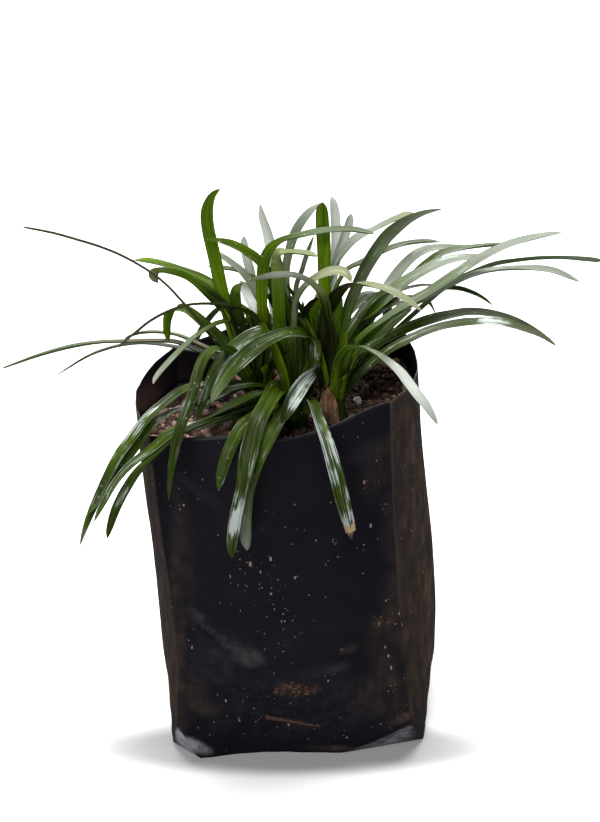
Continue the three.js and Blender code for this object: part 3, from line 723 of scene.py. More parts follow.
# Each leaf: its looks at even steps from root to tip, then the places it passes, each with how far the
# blade is rolled there, in degrees, and how wide it is. Sizes are in millimetres. Most places were worked
# out beforehand from where the photo shows the leaf and how wide it looks there, and some were then
# changed.
# The looks paint light, shade and shine into each leaf: lit, mid, deep, dim and shade are painted light and
# shade, satin, gloss and glare add painted glints, and grey, silver, pale and the rest add painted sheen.
LEAVES = {
    "right": [
        ("lit lit lit lit mid", [
            (11.9, -5.8, 185.6, -48, 5.7), (11.5, -4.3, 193.8, -44, 5.5), (11.4, -3, 200.8, -40, 5.6),
            (11.1, -2, 207.8, -36, 5.7), (10.7, -1.2, 213.7, -36, 5.6), (10.5, -0.7, 218.1, -36, 5),
            (10.5, -0.3, 220.4, -36, 3.5), (10.5, 0, 221.7, -36, 1.2),
        ]),
        ("lit mid ash grey silver", [
            (20.4, 2.9, 177.8, 84, 6.1), (23.2, 7.6, 183.2, 80, 6.2), (27.6, 12.5, 191.1, 72, 6.1),
            (32.1, 17, 197, 72, 6.2), (36.3, 20.8, 201.4, 76, 6.1), (41.1, 23.9, 204.6, 92, 6.1),
            (46, 26.6, 206.7, 88, 3.9), (50.9, 28.8, 208, 84, 2.4), (55.1, 30.6, 208.4, 84, 1.4),
            (58.8, 32, 208.5, 84, 0.4),
        ]),
        ("lit mid grey silver silver grey", [
            (36.8, 22, 177.8, -8, 5.6), (39, 25.5, 180.1, 0, 5.6), (44, 29.4, 185.4, 4, 5.5),
            (49.4, 33.4, 188.9, 8, 5.4), (54.8, 36.9, 189.9, 8, 5.8), (60.7, 40.2, 189.5, 4, 6),
            (66.6, 43.2, 188.7, 4, 4.2), (74.1, 46, 187.9, 4, 1.1),
        ]),
        ("lit mid mid grey grey", [
            (30, 4, 173, -12, 5), (40.4, 12.5, 181.3, -12, 5.2), (46, 16.5, 184.9, -8, 5.3),
            (52.2, 20.2, 189.4, -8, 5.7), (57.9, 23.5, 192.4, -4, 5.4), (63.6, 26.6, 193.2, -4, 5.9),
            (70.8, 30, 193.2, -8, 5.5), (80.2, 33.8, 192.9, -12, 5.9), (91.9, 38, 192.2, -12, 2.5),
        ]),
        ("lit mid grey grey silver silver", [
            (23, -12, 168, -8, 5.2), (35.5, -6.9, 177.4, -8, 6.2), (43.5, -4.2, 181.9, 0, 5.8),
            (50.8, -1.7, 185.3, 4, 5.9), (56.9, 0.6, 188.7, 8, 5.5), (63.6, 2.9, 192.6, 8, 5.6),
            (70.3, 5.1, 196.2, 4, 6), (77, 7.3, 199.3, 4, 5.9), (83.9, 9.6, 201.6, 4, 5.7),
            (90.8, 11.7, 202.9, 0, 6.2), (97.7, 13.7, 203.8, 0, 4.8), (102.5, 15.1, 204.2, 0, 2.7),
            (104.8, 16, 204.2, 0, 0.7),
        ]),
        ("lit mid grey grey silver", [
            (55.9, 25, 173.6, -52, 5.6), (64.3, 28.5, 179, -48, 5.4), (73.6, 31.8, 182.6, -44, 4.8),
            (80.8, 34.8, 184.1, -40, 5.3), (88.1, 37.7, 184.4, -36, 4.8), (99.1, 40.7, 184.6, -32, 4.8),
            (110.1, 43.6, 183.8, -28, 5), (121.3, 46.1, 182.1, -24, 6.3), (126.4, 48, 180.8, -20, 4.9),
        ]),
        ("lit mid grey silver silver", [
            (35, 6, 170, -8, 5), (54.8, 13.5, 179.1, -8, 5.8), (61.7, 15.7, 182.3, -8, 5.6),
            (68.6, 17.8, 185, -8, 5.6), (73.6, 19.7, 186.1, -8, 6.2), (79.2, 21.5, 186.6, -8, 6.1),
            (86.3, 23.4, 186.5, -8, 6), (93.5, 25.2, 185.9, 0, 5.3), (100.7, 26.8, 184.8, 8, 5.6),
            (106.5, 28, 182.9, 12, 5.8), (111.7, 29, 180.4, 12, 4.5), (115.6, 30, 178.3, 12, 1.1),
        ]),
        ("mid mid grey grey deep deep", [
            (42.5, 31.8, 166.5, -64, 4.9), (46.9, 34.8, 168.4, -56, 5.3), (52.7, 38.2, 170.4, -48, 5.6),
            (58.7, 42.1, 170.7, -40, 5.1), (66.2, 46.2, 169.5, -28, 5.3), (72.5, 50, 166.7, -16, 4.8),
            (78.8, 53.2, 162.7, -16, 2.8), (84, 56, 158, -16, 0.7),
        ]),
        ("mid mid mid deep deep", [
            (43.4, 43.1, 158.2, -32, 5), (49.4, 49.3, 160.8, -20, 4.5), (54.1, 54, 161.1, -36, 4.9),
            (57.3, 57.2, 158.4, -36, 1.7), (60.1, 60, 152.7, -36, 0.4),
        ]),
        ("mid mid shade ash ash sere", [
            (22.1, -11.4, 161.3, 8, 5.5), (26.9, -9.3, 164.5, 8, 6), (33.7, -7.4, 167.9, 12, 5.9),
            (40.3, -5.9, 170.9, 16, 5.7), (47, -4.7, 173.5, 16, 5.8), (53.7, -3.7, 175.5, 16, 6),
            (60.4, -2.7, 176.8, 12, 5.7), (67.1, -1.6, 177.5, 8, 5.9), (74, -0.6, 176.8, 8, 6),
            (80.9, 0.5, 175, 8, 5.8), (87.9, 1.6, 172, 12, 5.3), (95.1, 2.6, 167.3, 12, 5.7),
            (100.2, 3.4, 163.7, 12, 3.9), (103.5, 4, 161.1, 12, 1.2),
        ]),
        ("mid shade shade ash ash glare ash sere", [
            (35.3, -15.4, 166.7, 12, 5.7), (43.1, -14.7, 171.2, 12, 5.8), (49.7, -14, 174.2, 8, 5.9),
            (56.2, -13.3, 176.2, 8, 5.6), (62.8, -12.8, 177.3, 4, 6.1), (69.4, -12.2, 177.8, 8, 5.5),
            (76.1, -11.7, 177.6, 8, 5.9), (82.8, -11.3, 176.2, 12, 5.5), (88.3, -10.9, 174.2, 8, 5.7),
            (93.1, -10.5, 172.2, 8, 5.2), (97.2, -10.2, 169.8, 8, 3), (100.4, -10, 167.7, 8, 0.8),
        ]),
        ("deep dim dim dim straw straw", [
            (11.3, -21.8, 181.9, -52, 5.6), (14.5, -22.7, 190.5, -60, 5.8), (17.3, -23.5, 194.6, -44, 5.6),
            (20.8, -24.3, 197.4, -24, 5.9), (25.8, -25, 197.9, -8, 6.2), (30.9, -25.8, 197.2, 0, 5.5),
            (35.4, -26.7, 195.8, 4, 5.4), (39.8, -27.8, 193.8, 4, 5.3), (43.6, -28.9, 191.5, 4, 4.2),
            (47, -30, 189.2, 4, 1.1),
        ]),
        ("deep dim dim dim deep straw cream straw", [
            (13.6, -24.4, 175.4, 4, 5.9), (11.7, -26.7, 188.1, 8, 5.6), (9.9, -28.7, 195, 8, 6.1),
            (7.6, -30.3, 198.7, 12, 5.5), (4.8, -31.9, 201.9, 16, 5.1), (-0.8, -33.9, 204.7, 28, 6.1),
            (-6.3, -35.9, 205.3, 40, 5.8), (-11.3, -38, 205.4, 40, 5.1), (-16.5, -40, 205.1, 40, 1),
        ]),
        ("lit lit mid grey silver silver", [
            (23.8, -0.6, 172.7, 0, 6.2), (28.5, 2.5, 175.8, 12, 5.9), (34, 5.9, 179.5, 16, 5.9),
            (40.8, 9.4, 184.2, 12, 6), (49, 12.7, 188.3, 8, 6.1), (55.9, 15.4, 191, 8, 5.9),
            (61.5, 17.5, 192.1, 4, 6), (67.1, 19.2, 192.5, 0, 5.5), (72, 20.7, 192.4, 0, 4.8),
            (76.1, 22, 191.8, 0, 2),
        ]),
        ("lit lit mid grey pale silver", [
            (16.5, -29.2, 168.2, 0, 5.7), (18.6, -33.3, 174.1, -8, 6.2), (21.3, -36.8, 177.7, -16, 6.7),
            (24.4, -39.5, 178.9, -16, 4.8), (27.1, -41.8, 178.7, -20, 5.9), (30.5, -43.9, 177.6, -16, 5.5),
            (34.3, -45.7, 175.1, -16, 6.3), (38, -47.4, 172.3, -8, 5.9), (41.2, -48.9, 168.5, -8, 6.2),
            (44.3, -50.3, 164.7, -8, 6), (47.5, -51.5, 160.8, -12, 5.9), (50, -52.6, 157.4, -12, 4.5),
            (51.6, -53.4, 155.2, -12, 2.4), (52.4, -54, 154.1, -12, 0.7),
        ]),
        ("deep deep deep", [
            (24, -10, 158, 0, 4.9), (34, -4, 169, 0, 4.9), (46, 4, 177, 0, 1.3),
        ]),
        ("lit lit mid", [
            (10, -13, 162, 0, 5.5), (12, -10, 187, 0, 1.4),
        ]),
        ("mid lit lit lit", [
            (13.9, -16, 159.5, 0, 4.2), (13.5, -14, 169, 0, 4.8), (15, -12, 176.5, 0, 4.8),
            (16.9, -10, 182.3, 0, 3.8), (18, -9, 186.8, 0, 1.1),
        ]),
        ("deep dim dim", [
            (8.9, -14, 166.1, 0, 3.5), (4.7, -12, 176.1, 0, 3.4), (3.9, -11, 181, 0, 3.1),
            (6.2, -10, 184.7, 0, 2.7), (9.6, -9, 186.8, 0, 1.1),
        ]),
        ("deep deep shade shade", [
            (19, -8, 166.5, 0, 3.9), (24.1, -2, 174.5, 0, 4.3), (29.7, 4, 180.1, 0, 3.9),
            (35.3, 8, 182.3, 0, 3.1), (40.1, 10, 182, 0, 1.2),
        ]),
        ("deep mid shade satin", [
            (22.2, -4, 167.8, 0, 3.5), (31.4, 4, 175.5, 0, 3.9), (40.2, 10, 178.6, 0, 3.5),
            (48, 14, 178, 0, 2.8), (54.2, 16, 175.1, 0, 1.2),
        ]),
        ("dim deep deep shade", [
            (24.7, 0, 168.7, 0, 3.5), (32.4, 8, 173.5, 0, 4.7), (39.3, 14, 175, 0, 4.4),
            (45.2, 18, 173.9, 0, 3.2), (50.4, 22, 169.7, 0, 1.2),
        ]),
    ],
    "front": [
        ("mid mid straw", [
            (-5.5, -16.3, 180.9, 48, 5.9), (-5.8, -16.4, 189.6, 52, 5.8), (-6.1, -16.8, 197.2, 52, 5.9),
            (-6.1, -17.4, 203.5, 44, 5.9), (-5.7, -17.9, 207.4, 16, 5.7), (-3.4, -18.2, 208, -4, 5.3),
            (2, -18.7, 208, -4, 5.9), (6.3, -19.4, 207.5, -4, 5.5), (8.8, -20, 207, -4, 1.2),
        ]),
        ("mid deep grey straw straw", [
            (0.3, -21.1, 185.3, 36, 6.1), (1.1, -22.6, 191.4, 24, 6.6), (4, -23.8, 196.7, 16, 6.1),
            (8.2, -24.8, 200.4, 20, 5.6), (12.2, -25.7, 202.7, 20, 5.9), (16.7, -26.5, 203.4, 12, 6.2),
            (19.5, -27.3, 202, 12, 4.4), (21, -28, 199.6, 12, 1.1),
        ]),
        ("deep deep deep glare glare shade", [
            (8.5, -33.8, 167.3, -100, 6), (6, -37.9, 167, -84, 6.1), (3, -43.2, 165.8, -60, 6.3),
            (0.3, -48, 163.7, -48, 6.3), (-1.8, -51.1, 161.1, -48, 6), (-3.3, -53, 158.2, -44, 4.5),
            (-4.3, -54.2, 156.1, -44, 2.6), (-4.7, -55, 154.6, -44, 0.5),
        ]),
        ("deep satin satin glare satin glare torn", [
            (6.7, -45.3, 159.2, -24, 6.1), (7.9, -51.9, 157.7, -28, 6), (9.6, -57.4, 154.9, -20, 6.1),
            (11.4, -61.1, 150.9, -16, 6.1), (13.3, -63.5, 145.1, -8, 6), (15, -65.1, 139.4, -4, 6.1),
            (16.3, -66.2, 134, -4, 6.1), (17.5, -67, 128.9, -12, 6.1), (18.8, -67.5, 123.6, -16, 5.9),
            (19.8, -68, 119.3, -24, 6.2), (20.9, -68.6, 113.9, -28, 6),
        ]),
        ("mid mid mid shade satin glare satin", [
            (-6, -36.1, 161, -24, 7.3), (-9.7, -47.4, 160, -4, 6.8), (-13, -55.9, 157, -8, 6.9),
            (-15.2, -61.6, 151.6, -8, 6.9), (-16.7, -65.4, 146, -4, 6.9), (-17.6, -68, 140.8, 12, 6.8),
            (-18.6, -69.7, 135.8, 24, 6.6), (-19.7, -70.8, 130.9, 28, 7.1), (-20.8, -71.7, 125.9, 24, 6.7),
            (-21.6, -72.4, 120.8, 24, 6.8), (-22.3, -73, 116.1, 24, 6.2), (-22.8, -73.5, 112.3, 24, 4.4),
            (-22.9, -74, 109.8, 24, 1.3),
        ]),
        ("deep shade shade satin grey silver", [
            (-0.5, -29.6, 155.1, 24, 6.7), (-4.4, -47.5, 155.1, 16, 6.6), (-7.3, -58, 154.2, 12, 6.6),
            (-9.8, -62.2, 150.9, 16, 6.6), (-12.1, -64.3, 146, 28, 6.8), (-13.7, -65.8, 141.3, 32, 6.7),
            (-15, -67, 137.1, 36, 6.4), (-16, -67.8, 132.1, 40, 6.6), (-16.6, -68.5, 126.9, 36, 6.5),
            (-17.1, -69, 121.7, 32, 6.7), (-17.4, -69.4, 116.9, 32, 7.1), (-17.6, -69.7, 113.2, 32, 5.5),
            (-17.5, -70, 110.7, 32, 1.8),
        ]),
        ("mid mid shade satin", [
            (-15.2, -47.9, 154.2, -4, 5.7), (-19, -53.7, 153.2, 0, 6), (-21.8, -58.2, 150, 4, 5.8),
            (-23.9, -61.2, 146, 8, 5.8), (-25.5, -63, 141.5, 12, 5.6), (-26.8, -64, 137.2, 12, 4.4),
            (-27.4, -64.6, 134.5, 12, 2.6), (-27.6, -65, 132.9, 12, 0.6),
        ]),
        ("deep deep gloss shade shade grey", [
            (7.2, -25.8, 176, 4, 6.1), (2.4, -28.4, 179.7, -24, 6.1), (-3.2, -31.4, 180.9, -16, 6),
            (-10.2, -35, 179.5, -20, 6.2), (-15, -38.5, 177.6, -32, 6.3), (-20, -41.6, 174.3, -32, 6.3),
            (-23.4, -44.2, 171.4, -20, 6.2), (-26.9, -46.5, 166.9, -20, 4.9), (-29.3, -48.4, 163.2, -20, 3),
            (-30.2, -50, 161.1, -20, 0.8),
        ]),
        ("deep shade gloss satin satin", [
            (-16.9, -33.2, 149.9, -16, 6), (-23.7, -38.8, 150.9, -20, 5.9), (-30.5, -43.8, 150.7, -16, 5.8),
            (-35.8, -48, 150.5, -12, 5.7), (-40.6, -51.5, 151.4, -8, 6), (-45.5, -54.7, 150.4, -8, 5.7),
            (-50.4, -57.6, 147.3, 0, 5.9), (-55.3, -60, 144.3, 4, 5.7), (-59.8, -61.9, 141.2, 8, 5.8),
            (-63.3, -63.3, 137.7, 8, 5.4), (-66.3, -64.6, 133.7, 8, 5.4), (-69.1, -65.7, 128.9, 8, 4.8),
            (-71.5, -66.8, 124.9, 8, 3.5), (-73.4, -68, 121.4, 8, 0.6),
        ]),
        ("deep shade shade shade shade", [
            (-39, -55, 152.6, 16, 6.2), (-44.8, -58.8, 149.9, 20, 5.4), (-48.2, -61.9, 147.9, 20, 5.9),
            (-52.2, -64.5, 144.9, 16, 6), (-56.4, -66.9, 141.3, 4, 5.5), (-59.8, -68.9, 136.7, 0, 5.6),
            (-62.6, -70.5, 132, 0, 5.7), (-64.7, -71.8, 127.6, 0, 5.5), (-66.5, -72.9, 122.7, 0, 4.4),
            (-67.6, -73.6, 119.5, 0, 2.6), (-68, -74, 117.8, 0, 0.6),
        ]),
        ("deep shade deep", [
            (-11, -30, 156, 10, 6.4), (-22, -40, 156, 10, 6.4), (-31, -47, 154, 10, 1.7),
        ]),
        ("deep deep shade deep", [
            (-12.5, -24, 156.3, 0, 3.8), (-20.3, -28, 157.7, 0, 4.5), (-29.2, -33, 157, 0, 4.5),
            (-36.2, -36, 154.3, 0, 3.4), (-40.7, -38, 151.1, 0, 1.1),
        ]),
    ],
    "left": [
        ("mid lit lit lit mid", [
            (-27.6, 2.3, 182.5, -56, 5.6), (-30.5, 3.5, 197.2, -56, 5.6), (-33, 4.3, 210.6, -64, 5.7),
            (-33.2, 4.8, 216, -68, 5.6), (-32.4, 5.2, 219.8, -68, 4.3), (-30.9, 5.6, 222.8, -68, 2.6),
            (-28.1, 6, 225.2, -68, 0.4),
        ]),
        ("mid deep sere sere sere", [
            (-33.9, -3.5, 170.3, 44, 4), (-42.6, -2.5, 181.3, 28, 3), (-49.5, -1.9, 189.2, 28, 2.8),
            (-55.2, -1.9, 194.2, 28, 3), (-65.5, -2.4, 200.9, 28, 3.2), (-74, -3.2, 205, 28, 3.3),
            (-83, -4.1, 208.3, 28, 3.2), (-90.9, -5, 211, 28, 3.1), (-102.4, -6, 213.8, 28, 2.1),
        ]),
        ("deep deep mid mid lit", [
            (-26.6, 11, 177.8, 4, 5.3), (-32, 13.5, 182.7, 0, 5.8), (-38.1, 15.5, 185.9, 4, 5.9),
            (-45.5, 17.2, 188.1, 4, 5.8), (-51.6, 18.7, 189.7, 4, 5.6), (-56.6, 20.1, 190.5, 4, 5.9),
            (-60.6, 21.1, 190.8, 4, 5.3), (-64.4, 22, 190.6, 4, 1),
        ]),
        ("deep deep dim mid straw", [
            (-20.3, -1.2, 168.3, 80, 5.8), (-24.7, 0.1, 175, 84, 5.9), (-28.3, 1.1, 179, 84, 5.8),
            (-32.1, 1.8, 182.6, 80, 5.8), (-35.6, 2.5, 185.7, 72, 6), (-39.1, 3.1, 188.4, 64, 5.6),
            (-43.1, 3.6, 190.6, 56, 5.4), (-48.6, 3.9, 192.2, 48, 5.8), (-52.1, 4, 192.6, 40, 5.4),
            (-54.1, 4, 191.9, 32, 6), (-54.2, 4, 189.8, 32, 3.9), (-52.9, 4, 187.4, 32, 0.5),
        ]),
        ("dim deep deep sere grey", [
            (-15.7, -8.4, 178.4, 32, 5.2), (-23.9, -9.1, 182.5, 28, 5.1), (-31.5, -9.9, 184.3, 32, 3.3),
            (-39, -10.8, 184.5, 32, 3.1), (-43.7, -11.6, 183.7, 32, 3.2), (-49.6, -12.5, 181.6, 32, 3.2),
            (-55.4, -13.5, 178.5, 32, 3), (-60.2, -14.5, 174.8, 32, 2.9), (-64.4, -15.3, 171.6, 32, 2.3),
            (-67.9, -16, 168.8, 32, 1),
        ]),
        ("mid mid deep mid lit", [
            (-23.6, 4, 157.7, -8, 5.9), (-28.5, 6.5, 162, -12, 5.7), (-34.6, 8.4, 167.1, -8, 5.9),
            (-39.4, 9.6, 171.2, -4, 6), (-43.1, 10.5, 173.6, 0, 6), (-46.7, 11.3, 174.1, -8, 6.3),
            (-49.2, 11.8, 172.2, 16, 5.8), (-50.4, 12, 167.6, 4, 6), (-50.6, 12, 163, 4, 4.4),
            (-50.3, 12, 159.5, 4, 0.8),
        ]),
        ("mid deep sere grey grey", [
            (-30.9, 3.4, 155.3, 8, 6), (-38.3, 5.8, 158.3, 8, 5.1), (-46.9, 7.3, 161.3, 12, 5.3),
            (-56.1, 7.9, 161.7, 12, 4.9), (-65.2, 7.6, 161.6, 12, 4.8), (-77.4, 6.9, 161.5, 12, 4.7),
            (-89.5, 5.6, 160, 12, 6.2), (-101.7, 3.9, 157.1, 12, 5.3), (-116.3, 2, 152.3, 12, 2.2),
        ]),
        ("deep deep shade grey silver", [
            (-23.8, -14.6, 178.6, 4, 4.2), (-27.1, -17.8, 180.1, 4, 4.4), (-31.5, -22, 179.9, 8, 4),
            (-37.1, -26.9, 177.7, 12, 4.2), (-42.6, -31.7, 174.1, 12, 4), (-47.6, -36, 170, 16, 4.1),
            (-50.9, -39.4, 166.9, 16, 3.3), (-52.1, -42, 165.2, 16, 1.1),
        ]),
        ("mid lit grey silver", [
            (-11.3, 3.1, 173.2, 8, 5.4), (-15.4, 5.4, 182.6, 12, 5.4), (-17.8, 7.2, 186.7, 12, 5.3),
            (-21.4, 8.5, 191, 16, 5.5), (-25, 9.5, 193.8, 16, 5.1), (-28.6, 10.4, 196.2, 16, 4.5),
            (-31.9, 11.3, 197.7, 16, 3.6), (-34, 12, 198.2, 16, 1),
        ]),
        ("deep deep lit mid grey grey", [
            (-12.1, -5.8, 176.7, 52, 5.5), (-12.3, -6.3, 185.8, 56, 5.5), (-12.1, -6.9, 193.5, 60, 5.5),
            (-11.3, -7.6, 199.9, 52, 5.8), (-9, -7.9, 205.3, 32, 5.9), (-4.4, -8, 209.3, 4, 5.4),
            (2, -8, 211, 0, 6.2), (8.9, -8, 212.5, 4, 5.9), (17, -8.3, 213.5, 4, 5.4),
            (22.2, -8.8, 213.5, 0, 6), (26.8, -9.4, 212.9, 0, 4.3), (30.2, -10, 212.3, 0, 1.1),
        ]),
        ("deep deep mid", [
            (-19.4, -7.9, 170.5, 64, 6), (-22.3, -8.8, 179.2, 60, 6.1), (-23.1, -9.4, 185.7, 48, 6.2),
            (-22.6, -9.4, 189.8, 32, 6.1), (-21.1, -8.8, 191.6, 32, 2.6), (-19.5, -8, 192.2, 32, 0.4),
        ]),
        ("mid mid shade satin", [
            (-26.6, -31.1, 175.4, 12, 6.1), (-32.1, -40, 175.9, 12, 5.4), (-34.5, -48, 173, 24, 5.7),
            (-36.2, -54.9, 168.1, 20, 5.5), (-38.4, -60.7, 162.9, 20, 5.6), (-40.6, -65.1, 157.8, 20, 5.5),
            (-42, -67.8, 152.8, 28, 5.8), (-43.2, -69.4, 147.6, 28, 4.8), (-44.3, -70.5, 141.7, 28, 3.6),
            (-44.9, -71.3, 136.5, 28, 2.3), (-45.3, -72, 132.8, 28, 0.5),
        ]),
        ("deep shade gloss gloss satin", [
            (-8.7, -13.2, 174.9, 4, 5.9), (-15.1, -16.6, 174.7, -12, 5.9), (-20.7, -20.8, 172.7, -16, 5.8),
            (-25.1, -25.7, 169.9, -8, 5.9), (-29.1, -30.7, 165.9, 0, 5.8), (-32.2, -34.8, 160.3, 8, 5.6),
            (-34.6, -37.6, 154.6, 4, 4.1), (-36.3, -39.1, 150.8, 4, 2.3), (-36.9, -40, 149.6, 4, 0.6),
        ]),
        ("shade satin gloss satin satin", [
            (-37.3, -33.6, 160.5, 4, 5.4), (-41.7, -38.5, 160.9, 8, 5.8), (-47.9, -43.4, 158, 8, 6.1),
            (-53.7, -47.9, 154.3, 4, 5.7), (-59.6, -51.9, 147.8, 4, 6), (-64.1, -55.2, 142.5, 4, 6),
            (-68.3, -57.8, 135.1, 4, 5.8), (-71.9, -59.8, 127.8, 8, 5.8), (-75.4, -61.3, 120.3, 8, 4.7),
            (-77.9, -62.7, 114.2, 8, 3.1), (-79.7, -64, 109.1, 8, 0.4),
        ]),
        ("shade satin gloss shade satin", [
            (-37.6, -33.3, 151.1, 16, 6.1), (-41.4, -39.1, 153.5, 8, 5.8), (-46.1, -44.2, 154.3, 12, 6),
            (-50.5, -48.1, 152.8, 12, 5.6), (-54.1, -51, 149.7, 12, 5.9), (-57.7, -53.6, 145.3, 8, 5.7),
            (-61.4, -55.8, 140.8, 8, 5.6), (-65.1, -57.7, 135.6, 12, 5.9), (-68.6, -59.2, 130.4, 16, 5.8),
            (-71.9, -60.3, 126, 16, 4.6), (-74.5, -61.2, 123.1, 16, 2.8), (-76.8, -62, 120.7, 16, 0.5),
        ]),
        ("mid mid pale pale pale", [
            (-13, 4, 161.5, 0, 4), (-14.6, 8, 170.1, 0, 4.3), (-16.2, 10, 175.3, 0, 4.7),
            (-18.2, 12, 179.1, 0, 5.1), (-20.1, 13, 182.6, 0, 3.9), (-21.6, 13, 185.1, 0, 1.6),
        ]),
    ],
    "back": [
        ("deep sere grey", [
            (-32, 18, 153, 14, 4.8), (-50, 22, 159, 14, 4.8), (-66, 26, 157, 14, 4.8),
            (-72, 28, 151, 14, 1.2),
        ]),
        ("mid silver grey", [
            (-39, 18, 153, 14, 4.8), (-64, 24, 154, 14, 4.8), (-82, 26, 149, 14, 4.8),
            (-99, 28, 138, 14, 1.2),
        ]),
        ("mid mid pale pale pale", [
            (-8, 26, 168, -60, 5), (-8.9, 30.7, 182.2, -60, 5.6), (-9.8, 32.8, 193.3, -64, 5.6),
            (-10.9, 34.5, 198.3, -72, 5.6), (-12.4, 35.8, 202.7, -80, 5.6), (-13.5, 37, 206.2, -76, 3.5),
            (-14, 38, 208.9, -76, 1.2),
        ]),
        ("mid pale pale pale pale", [
            (-16, 24.7, 176.5, -88, 5.5), (-17.5, 26.6, 183.7, -88, 5.8), (-19, 28.1, 189.7, -88, 5.6),
            (-19.9, 29.1, 194.3, -84, 4.2), (-20.4, 29.7, 197, -84, 2.9), (-20.6, 30, 198, -84, 1.2),
        ]),
        ("mid deep deep mid mid", [
            (-9.9, 3.6, 189.6, -52, 5.5), (-14, 2.2, 197.1, -40, 5.6), (-19.2, 1.1, 201.6, -28, 5.7),
            (-24.4, 0, 204.7, -20, 5.3), (-29.3, -1, 206.6, -20, 2.8), (-33.7, -2, 207.7, -20, 0.4),
        ]),
        ("deep deep mid grey", [
            (2.6, 16.3, 171.2, 12, 5.3), (-2.3, 18.3, 176, 12, 4.7), (-7.2, 20.2, 178.9, 12, 4.7),
            (-13.4, 21.8, 181.4, 12, 4.5), (-18.9, 23.2, 183.8, 12, 4.6), (-23.9, 24.3, 185.5, 8, 4.6),
            (-28.8, 25, 186.1, 4, 4.7), (-32.2, 25.6, 186.3, 4, 3.2), (-35.6, 26, 186.6, 4, 0.8),
        ]),
        ("deep mid grey grey silver", [
            (-3.2, 20.3, 186, -32, 5.7), (-1.7, 22.8, 194.8, -28, 5.5), (0.5, 25.1, 201.1, -24, 5.5),
            (3.8, 26.9, 206.1, -24, 5.4), (7.2, 28.4, 209.6, -20, 4), (10.1, 30, 211.7, -20, 1.1),
        ]),
        ("mid pale pale pale pale", [
            (15, 36, 177, 60, 5), (16.4, 40, 190.8, 60, 5.7), (16.2, 41.2, 198.3, 60, 5.6),
            (15.8, 42.3, 204.4, 56, 4.9), (15.1, 43.2, 208.7, 56, 3.2), (14.6, 44, 210.1, 56, 1.3),
        ]),
        ("mid pale pale pale pale", [
            (16.2, 32.8, 186.3, 80, 5.4), (17.8, 34.9, 190.7, 80, 5.6), (19.4, 36.8, 194.5, 80, 5.6),
            (20.8, 38.3, 198.3, 80, 5.5), (22.1, 39.3, 202.2, 76, 4.4), (22.8, 40, 203.9, 76, 2.2),
        ]),
        ("mid grey grey silver straw", [
            (16.1, 25.1, 186.9, -12, 5.7), (19.5, 27.5, 191.9, 0, 5.2), (23.7, 29.5, 196.2, 4, 5.5),
            (27.8, 31.2, 198.4, 4, 5.3), (32.7, 32.5, 200.3, -8, 5.2), (37.5, 33.7, 202.4, -8, 5.2),
            (42.4, 34.7, 204.3, -8, 5.4), (45.5, 35.5, 205.3, -8, 5.1), (47.6, 36, 205.7, -8, 1.9),
        ]),
        ("mid mid grey grey", [
            (20, 15.1, 188.3, -12, 4.7), (26.1, 17.6, 191, -12, 5.9), (31.6, 19.8, 193.1, -8, 5.3),
            (37.1, 21.8, 195.2, -4, 5.2), (43.3, 23.6, 196.7, -8, 5.8), (50.3, 25.4, 197.1, -8, 6),
            (55.2, 26.9, 196.7, -4, 4.1), (58.1, 28, 196.2, -4, 1.3),
        ]),
        ("deep grey silver silver", [
            (0.1, 25, 177.7, 80, 4.7), (2.6, 27.3, 184.8, 80, 4.8), (4.5, 29.3, 190.6, 84, 4.9),
            (6.6, 30.8, 195.6, 80, 2.2), (7.7, 32, 197.6, 80, 0.5),
        ]),
        ("mid deep deep", [
            (-10, 26, 158, 0, 5), (-20, 40, 161, 0, 5), (-28, 50, 161, 0, 5), (-38, 62, 148, 0, 5),
            (-48, 72, 126, 0, 1.4),
        ]),
        ("mid lit mid mid", [
            (0.4, 4, 161.5, 0, 3.6), (-1.9, 2, 173.8, 0, 3.5), (-4.2, 0, 183.7, 0, 3.1),
            (-6.1, -2, 189.4, 0, 1.2),
        ]),
        ("mid deep deep", [
            (9, 38, 164, 0, 4.8), (11.5, 53, 165, 0, 4.8), (10, 66, 150, 0, 4.8), (6, 85, 112, 0, 1.4),
        ]),
        ("mid deep deep", [
            (20, 30, 163, 0, 5), (29, 42, 166, 0, 5), (36, 52, 164, 0, 5), (40, 64, 148, 0, 5),
            (41, 77, 124, 0, 1.4),
        ]),
        ("mid deep grey silver silver", [
            (10.7, 6, 158.5, 0, 3.6), (18.3, 12, 168.9, 0, 3.6), (22.7, 16, 174.6, 0, 3.6),
            (27.5, 18, 177.7, 0, 3.2), (32.4, 20, 177.4, 0, 2.4), (37.3, 21, 175.3, 0, 1.2),
        ]),
        ("mid deep grey silver silver", [
            (13.9, 8, 159.8, 0, 3.2), (26.7, 14, 170.7, 0, 3.2), (37.1, 18, 176.8, 0, 3.2),
            (45.1, 20, 179.5, 0, 2.8), (51.7, 22, 180, 0, 2.4), (57.8, 23, 179.6, 0, 1.2),
        ]),
        ("mid lit lit lit", [
            (6, 3, 154.6, 0, 4), (7.5, 0, 165.3, 0, 4.7), (7.1, -2, 174.1, 0, 4.9),
            (8.2, -4, 180.7, 0, 3.5), (9.7, -5, 185.2, 0, 1.5),
        ]),
        ("mid deep deep deep", [
            (6.8, 5, 158.1, 0, 3.6), (5.1, 4, 168.8, 0, 3.5), (2, 3, 177.6, 0, 3.5),
            (-1.1, 2, 184.2, 0, 3.1), (-3.4, 1, 188.7, 0, 1.2),
        ]),
    ],
}
ROOT = {"height": 1, "spread": 2.4, "width": 3.8}
NECK = {"height": 10, "spread": 4, "width": 4.8}
LEAF_RINGS = 72
LEAF_ACROSS = 10
LEAF_THICKNESS = 0.42
LEAF_CHANNEL = 0.2
BLADE_HALF = 2.7
TORN_BACK = 4.2
TORN_DRY = 5.0
INNER_LEAVES = 30
GOLDEN_SHARE = 0.6180339887
# A crown, from its base in the soil up: the radius of each ring and its height over the soil.
CROWN_RINGS = [(4.0, -8), (5.2, -4), (5.4, 1), (4.6, 5), (2.6, 9)]
CROWN_SIDES = 32
